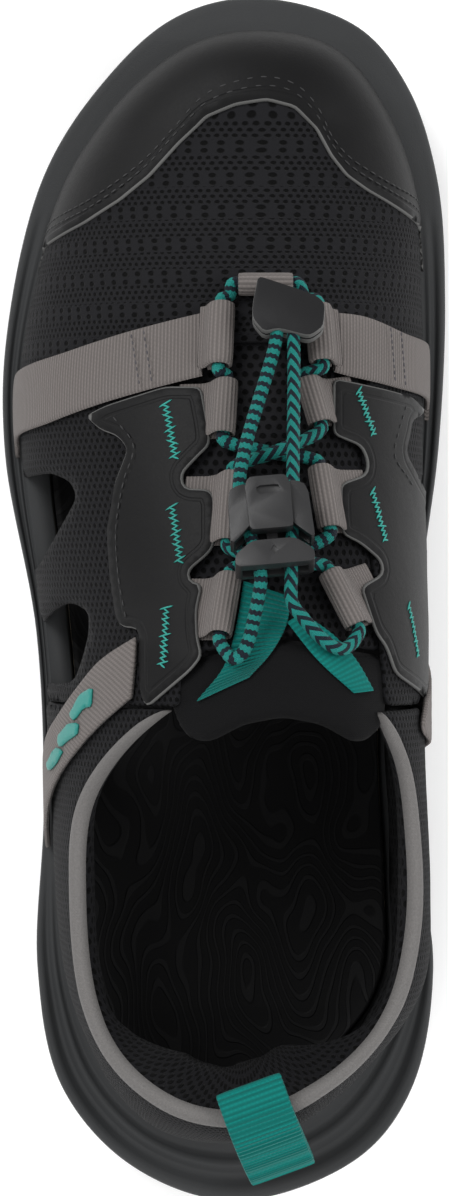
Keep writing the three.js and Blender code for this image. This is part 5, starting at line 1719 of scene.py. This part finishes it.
# %% Lock frame
LOCK_TILT, LOCK_TURN, LOCK_RAISE = 0.375, 0.094, 10.4    # two angles, and a height over the upper
AHEAD = np.array([-math.sin(LOCK_TURN), math.cos(LOCK_TURN) * math.cos(LOCK_TILT),
                  -math.cos(LOCK_TURN) * math.sin(LOCK_TILT)])
UP = np.array([0.0, math.sin(LOCK_TILT), math.cos(LOCK_TILT)])
UP -= AHEAD * (UP @ AHEAD)
UP /= np.linalg.norm(UP)
ACROSS = np.cross(AHEAD, UP)
LOCK_AT = over(10.05, 15.2) + UP * LOCK_RAISE


def in_lock(u, v, w=0.0):
    """A point given in the lock's own frame: across, along the cords, and up."""
    return LOCK_AT + ACROSS * u + AHEAD * v + UP * w


print("the lock sits", round(float(LOCK_AT[2]), 1), "mm over the ground")

# %% [markdown]
# ### The cord
#
# The cord comes out of the folded patch, passes the lock, and laces the loops from the ankle to the toes
# and back. Its points are listed, one for each bend. The tube is built ring by ring with its own
# frame, since a bevelled curve would twist the braid at sharp turns.

# %% The cord's route
MOUTH = 1.2                          # straight run past each mouth of a tunnel
TAIL_MIDDLE, TAIL_HALF_GAP, TAIL_END = 7.7, 1.8, 48.2


def cord_points():
    """The cord's route, point by point, and where its two patterned halves meet."""
    def through(key):
        centre, _, run, half = SEATS[key]
        front, rear = centre + run * half, centre - run * half
        return [rear - run * MOUTH, rear + run, front - run, front + run * MOUTH]

    def half_cord(side, own, other, level, turn, cross):
        tail = TAIL_MIDDLE + side * TAIL_HALF_GAP
        start = [in_lock(tail, TAIL_END), in_lock(tail, TAIL_END - 6), in_lock(side * 5.85, 6.7),
                 in_lock(side * 4.1, -8.5), in_lock(side * 3.3, -15.3)]
        start += [over(*p) for p in turn] + through(f"{own}_rear") + [over(*cross, level)]
        start += through(f"{other}_middle") + [over(11.2, 32, level)]
        return start + through(f"{own}_front") + through(f"{own}_strap")

    left = half_cord(-1, "lateral", "medial", 1.9, [
        (7.4, -1.4, 9), (6.6, -5, 6.6), (5.6, -9, 4.8), (4, -12.2, 3.6), (2.2, -13, 3.1)], (11, 8.6))
    right = half_cord(1, "medial", "lateral", 5.5, [
        (15, -1.2, 9.4), (17.4, -4.4, 7.6), (20.6, -8, 5.6), (24, -10.6, 4), (26.8, -10.8, 3.2)],
        (13, 8))
    bow = [over(1.4, 67.4, 4.3), *through("front"), over(18.4, 67, 4.3)]
    return np.array(left + bow + right[::-1]), len(left) + 3


def braided_cord(name, points, switch, radius, finish, sides=14, step=0.45):
    path = resample(spline(points, closed=False), step)
    run = np.gradient(path, axis=0)
    run /= np.linalg.norm(run, axis=1)[:, None]
    side = np.cross(run[0], (0, 0, 1.0))
    frames = []
    for t in run:
        side = side - t * (side @ t)
        side /= np.linalg.norm(side)
        frames.append(side)
    side = np.array(frames)
    up = np.cross(run, side)
    angle = 2 * np.pi * np.arange(sides) / sides
    at = np.arange(len(path)) * step
    knit = 0.06 * np.cos(2 * np.pi * at[:, None] / 1.25 + angle[None, :] * 7)
    size = radius * 0.97 + knit
    size[0] = size[-1] = radius * 0.7
    grid = path[:, None] + size[..., None] * (
        np.cos(angle)[None, :, None] * side[:, None] + np.sin(angle)[None, :, None] * up[:, None])
    rows = len(path)
    faces = grid_faces(rows, sides, closed=True)
    faces += [tuple(range(sides))[::-1], tuple((rows - 1) * sides + k for k in range(sides))]
    uv = np.column_stack([np.tile(np.arange(sides) * 8.0 / sides, rows), np.repeat(at, sides)])
    middle = np.linalg.norm(path - points[switch], axis=1).argmin()
    half = np.repeat((np.arange(rows) > middle).astype(float), sides)
    obj = make_object(name, grid.reshape(-1, 3), faces, [finish], uv, rim=half)
    layer = obj.data.uv_layers["UVMap"].data
    flat = np.empty(len(layer) * 2, np.float32)
    layer.foreach_get("uv", flat)
    quads = flat[: (rows - 1) * sides * 8].reshape(-1, 4, 2)
    seam = (quads[:, :, 0].max(1) - quads[:, :, 0].min(1)) > 4
    quads[seam] = np.where((quads[seam, :, :1] < 1) & (np.arange(2) == 0), 8.0, quads[seam])
    layer.foreach_set("uv", flat)
    print(name, "is", round(at[-1]), "mm long")
    return obj


CORD_LINE, CORD_SWITCH = cord_points()
put(braided_cord("bungee_cord_braided", CORD_LINE, CORD_SWITCH, CORD_R, CORD_FINISH),
    replaces=["bungee_cord"])


# %% [markdown]
# ### Housing and button
#
# Moulded plastic has flat faces and small even radii. The parts are prisms joined and cut with booleans,
# and then bevelled at every sharp edge, which gives the fine highlights of a real moulding. Sculpting
# would lose the straight ducts for the cord.

# %% Moulded parts of the lock
def moulded(name, outline, low, high, radius=0.0):
    """A prism over an outline in the lock's frame, with its corners eased."""
    flat = round_corners(outline, radius) if radius else np.array(outline, float)
    flat = tidy_loop(flat)
    area = (flat[:, 0] * np.roll(flat[:, 1], -1) - np.roll(flat[:, 0], -1) * flat[:, 1]).sum()
    flat = flat if area > 0 else flat[::-1]
    n = len(flat)
    verts = [in_lock(u, v, low) for u, v in flat] + [in_lock(u, v, high) for u, v in flat]
    faces = [tuple(range(n))[::-1], tuple(range(n, 2 * n))]
    faces += [(k, (k + 1) % n, (k + 1) % n + n, k + n) for k in range(n)]
    return make_object(name, verts, faces, [PLASTIC], smooth=False)


def lock_block(u0, u1, v0, v1, w0, w1):
    return moulded("tool", [(u0, v0), (u1, v0), (u1, v1), (u0, v1)], w0, w1)


def carve(obj, tools, mode):
    """Joins tool shapes to an object or cuts them out of it, and removes the tools."""
    for tool in tools:
        m = obj.modifiers.new("cut", "BOOLEAN")
        m.operation = mode
        m.object = tool
        m.solver = "EXACT"
        bake(obj)
        bpy.data.objects.remove(tool)


def bake(obj):
    """Makes an object's modifiers real."""
    bpy.context.view_layer.update()
    graph = bpy.context.evaluated_depsgraph_get()
    mesh = bpy.data.meshes.new_from_object(obj.evaluated_get(graph))
    obj.modifiers.clear()
    obj.data = mesh


def ease(obj, width, segments=3):
    """A small even radius on every sharp edge of a moulding."""
    m = obj.modifiers.new("ease", "BEVEL")
    m.width = width * MM
    m.segments = segments
    m.limit_method = "ANGLE"
    m.angle_limit = math.radians(35)
    m.harden_normals = False
    bake(obj)
    obj.data.polygons.foreach_set("use_smooth", np.full(len(obj.data.polygons), True))
    obj.data.set_sharp_from_angle(angle=math.radians(38))


WING = [(-4.5, 5.4), (-7.4, 4.8), (-8.7, 2.8), (-9.15, -7.9), (-8.6, -8.3), (-4.5, -4.4)]


def lock_body():
    """The housing: a block with two wings, a raised plate, a duct and its middle post."""
    body = moulded("cord_lock_housing", [(-8.6, -4.8), (8.6, -4.8), (8.4, 5), (-8.4, 5)], -3.2, 2.6, 1.5)
    wings = [moulded("tool", w, -3.0, 3.5, 0.9) for w in (WING, [(-u, v) for u, v in WING])]
    plate = moulded("tool", [(-4.7, -6.1), (4.7, -6.1), (4.9, 4.2), (4.1, 6.2), (-4.1, 6.2), (-4.9, 4.2)],
                    -3.1, 5.0, 0.8)
    carve(body, [*wings, plate], "UNION")
    carve(body, [lock_block(-8.1, 8.1, -20, 20, -1.85, 1.85)], "DIFFERENCE")
    carve(body, [lock_block(-1.4, 1.4, 4.2, 6.0, -2.2, 2.2)], "UNION")
    carve(body, [moulded("tool", [(-2.5, 2.0), (2.5, 2.0), (2.5, 4.0), (-2.5, 4.0)], 4.2, 6, 0.6)],
          "DIFFERENCE")
    ease(body, 0.32)
    return body


def plunger():
    """The button: a head with a duct of its own and a stem that reaches into the housing."""
    head = moulded("cord_lock_button", [
        (-8.3, -14.3), (8.3, -14.3), (8.7, -13.0), (8.4, -11.4), (4.6, -8.55), (-4.6, -8.55),
        (-8.4, -11.4), (-8.7, -13.0)], -3.2, 4.6, 1.1)
    carve(head, [lock_block(-7.2, 7.2, -30, 20, -1.85, 1.85)], "DIFFERENCE")
    carve(head, [lock_block(-1.4, 1.4, -13.1, -8.8, -2.2, 2.2), lock_block(-1.2, 1.2, -9.5, -2, -1.5, 1.5)],
          "UNION")
    mark = [(0, -9.9), (0.9, -11), (0, -12.1), (-0.9, -11)]
    carve(head, [moulded("tool", mark, 4.35, 6)], "DIFFERENCE")
    ease(head, 0.3)
    return head


put(lock_body(), "cord_lock", ["cord_lock_body"])
put(plunger(), "plunger", ["cord_lock_plunger"])
finish_packed("cord_lock_spring", STEEL)
print("with the lock", len(pieces), "pieces")

# %% [markdown]
# ### End patch and pull tab
#
# The cord's ends are sewn into a patch of film folded over them, which doubles as a grip. Behind the
# heel a loop of ribbed tape is sewn under the binding, so that a finger can pull the shoe on.

# %% End patch
def end_patch():
    """Two leaves of film, one over and one under the cord's ends."""
    outline = [(2.9, 55.5), (10.1, 52.1), (15.3, 49.5), (17.1, 47.3), (16.1, 41.7), (12.9, 39.7),
               (6.1, 42.3), (2.9, 41.7), (0.7, 45.3), (1.1, 48.7), (2.5, 53.7)]
    layers = []
    for low, high in ((0.25, 2.35), (-2.35, -0.25)):
        piece = moulded(f"cord_end_patch_{'upper' if low > 0 else 'lower'}", outline, low, high, 1.2)
        piece.data.materials.clear()
        piece.data.materials.append(PATCH_FILM)
        piece.data.materials.append(CUT_EDGE)
        sides = np.zeros(len(piece.data.polygons), np.int32)
        sides[2:] = 1
        piece.data.polygons.foreach_set("material_index", sides)
        ease(piece, 0.28, 2)
        layers.append(piece)
    return layers


upper, lower = end_patch()
put(upper, replaces=["cord_end_tab"])
put(lower)
print("patch faces", len(upper.data.polygons) + len(lower.data.polygons))

# %% [markdown]
# ### Pull tab
#
# The tab is a loop of the same ribbed tape, flattened by its own weight so that it falls back over the
# heel. It is a closed strip along a given path, and it lifts about its root.

# %% Pull tab
TAB_ROOT = np.array([6.0, -107.5])
TAB_TURN = 0.35
TAB_WIDTH = 15.0


def pull_tab():
    """A flattened loop of ribbed tape that falls back over the heel."""
    away = np.array([math.sin(TAB_TURN), -math.cos(TAB_TURN), 0.0])
    loop = [(-1.2, 1.6), (2.6, 2.9), (7.7, 2.4), (13.1, -1.9), (18.2, -9.6), (21.5, -17),
            (21.3, -19.6), (19.4, -19.0), (15.8, -13.4), (11, -5.8), (7.7, 0.5), (3.4, 1.3)]
    root = np.array([*TAB_ROOT, tab_level])
    path = [root + away * r + np.array([0, 0, h]) for r, h in loop]
    side = np.cross(away, (0, 0, 1.0))
    return space_strip("heel_pull_tab_ribbed", path, side, TAB_WIDTH, 0.95, TEAL_WEB,
                       rib_rule(1.38, 0.14), closed=True, step=0.16)


TAB_DROP = 5.1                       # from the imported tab's highest point to the root of the loop
tab_node = bpy.data.objects["heel_pull_tab"]
tab_level = max((tab_node.matrix_world @ v.co).z for v in tab_node.data.vertices) / MM - TAB_DROP
put(pull_tab(), "pull_tab", ["heel_pull_tab"])
print("hardware pieces", len(pieces))

# %% [markdown]
# ## Sewing
#
# Bar tacks in bright thread pin each lace loop through its stay. Rows of dark stitches hold the forefoot
# straps, and double rows run along the toe cap. They are all copies of one small thread shape.

# %% Stitches and bar tacks
TACKS = {
    "lateral_front": ((-11.8, 43.6), (-9.5, 30.8)),
    "lateral_middle": ((-10.2, 20.5), (-8.3, 7.7)),
    "lateral_rear": ((-11.2, -1.8), (-12, -15)),
    "medial_front": ((29, 46.6), (32.3, 36.4)),
    "medial_middle": ((31.8, 24), (34.6, 12.6)),
    "medial_rear": ((39.4, -1.4), (41.4, -13)),
}


def bar_tack(name, start, end, teeth=11):
    """A zigzag of thread along a line, every fifth stitch longer."""
    a, b = unroll([start])[0], unroll([end])[0]
    ahead = (b - a) / np.linalg.norm(b - a)
    cross = np.array([-ahead[1], ahead[0]])
    points, headings = [], []
    for k in range(2 * teeth):
        t = (k + 0.5) / (2 * teeth)
        points.append(a + (b - a) * t)
        lean = 0.42 if k % 2 else -0.42
        headings.append(cross * 0.9 + ahead * lean)
    flat = np.array(points)
    here = drape(flat, 2.62)
    there = drape(flat + np.array(headings) * 0.5, 2.62)
    heading = there - here
    heading /= np.linalg.norm(heading, axis=1)[:, None]
    size = np.tile((0.42, 2.0, 0.42), (len(flat), 1))
    size[::5, 1] = 3.4
    return copies(name, THREAD_SHAPE, THREAD, here, normals_at(flat, 2.6), heading, size, jitter=0.08)


for key, (start, end) in TACKS.items():
    put(bar_tack(f"bar_tack_{key}_thread", start, end), replaces=[f"bar_tack_{key}"])


def moved(line, dx, dy):
    return [(x + dx, y + dy) for x, y in line]


CAP_LINE = TOE_CAP[3:-1]
put(stitches("toe_cap_stitches", [
    stitch_run(moved(CAP_LINE, 0, 3.0), 2.55), stitch_run(moved(CAP_LINE, 0, 4.8), 2.55)],
    BLACK_THREAD))
STRAP_TOP = 4.2
put(stitches("strap_stitches", [
    stitch_run([(-18.3, 58.6), (-16.7, 48.2)], STRAP_TOP, 1.1, 1.5, 0.4),
    stitch_run([(-15.7, 59.4), (-14.1, 48.8)], STRAP_TOP, 1.1, 1.5, 0.4),
    stitch_run([(35.0, 60.6), (35.8, 49.4)], STRAP_TOP, 1.1, 1.5, 0.4),
    stitch_run([(37.2, 59.8), (38.0, 48.6)], STRAP_TOP, 1.1, 1.5, 0.4)], DARK_THREAD))
put(stitches("stay_stitches", [
    stitch_run([(-22.6, 40), (-18.6, 34), (-20.6, 26), (-22.2, 15), (-21.6, 5.4), (-20.0, -3.6)], 2.55),
    stitch_run([(39.4, 43), (37.6, 37), (36.8, 32), (40.4, 26)], 2.55)], BLACK_THREAD))
print("all pieces", len(pieces))

# %% [markdown]
# ## Floor
#
# The floor is one large pale sheet. The last line prints the number of pieces.

# %% Floor and finish
bpy.ops.mesh.primitive_plane_add(size=6.0, location=(0, 0, -0.0002))
floor = bpy.context.object
floor.name = "studio_floor"
pale = Graph("studio_white")
pale.set(Base_Color=(0.95, 0.95, 0.95), Roughness=0.9,
         Emission_Color=(1.0, 1.0, 1.0), Emission_Strength=0.16)
floor.data.materials.append(pale.material)
print("pieces", len(pieces))
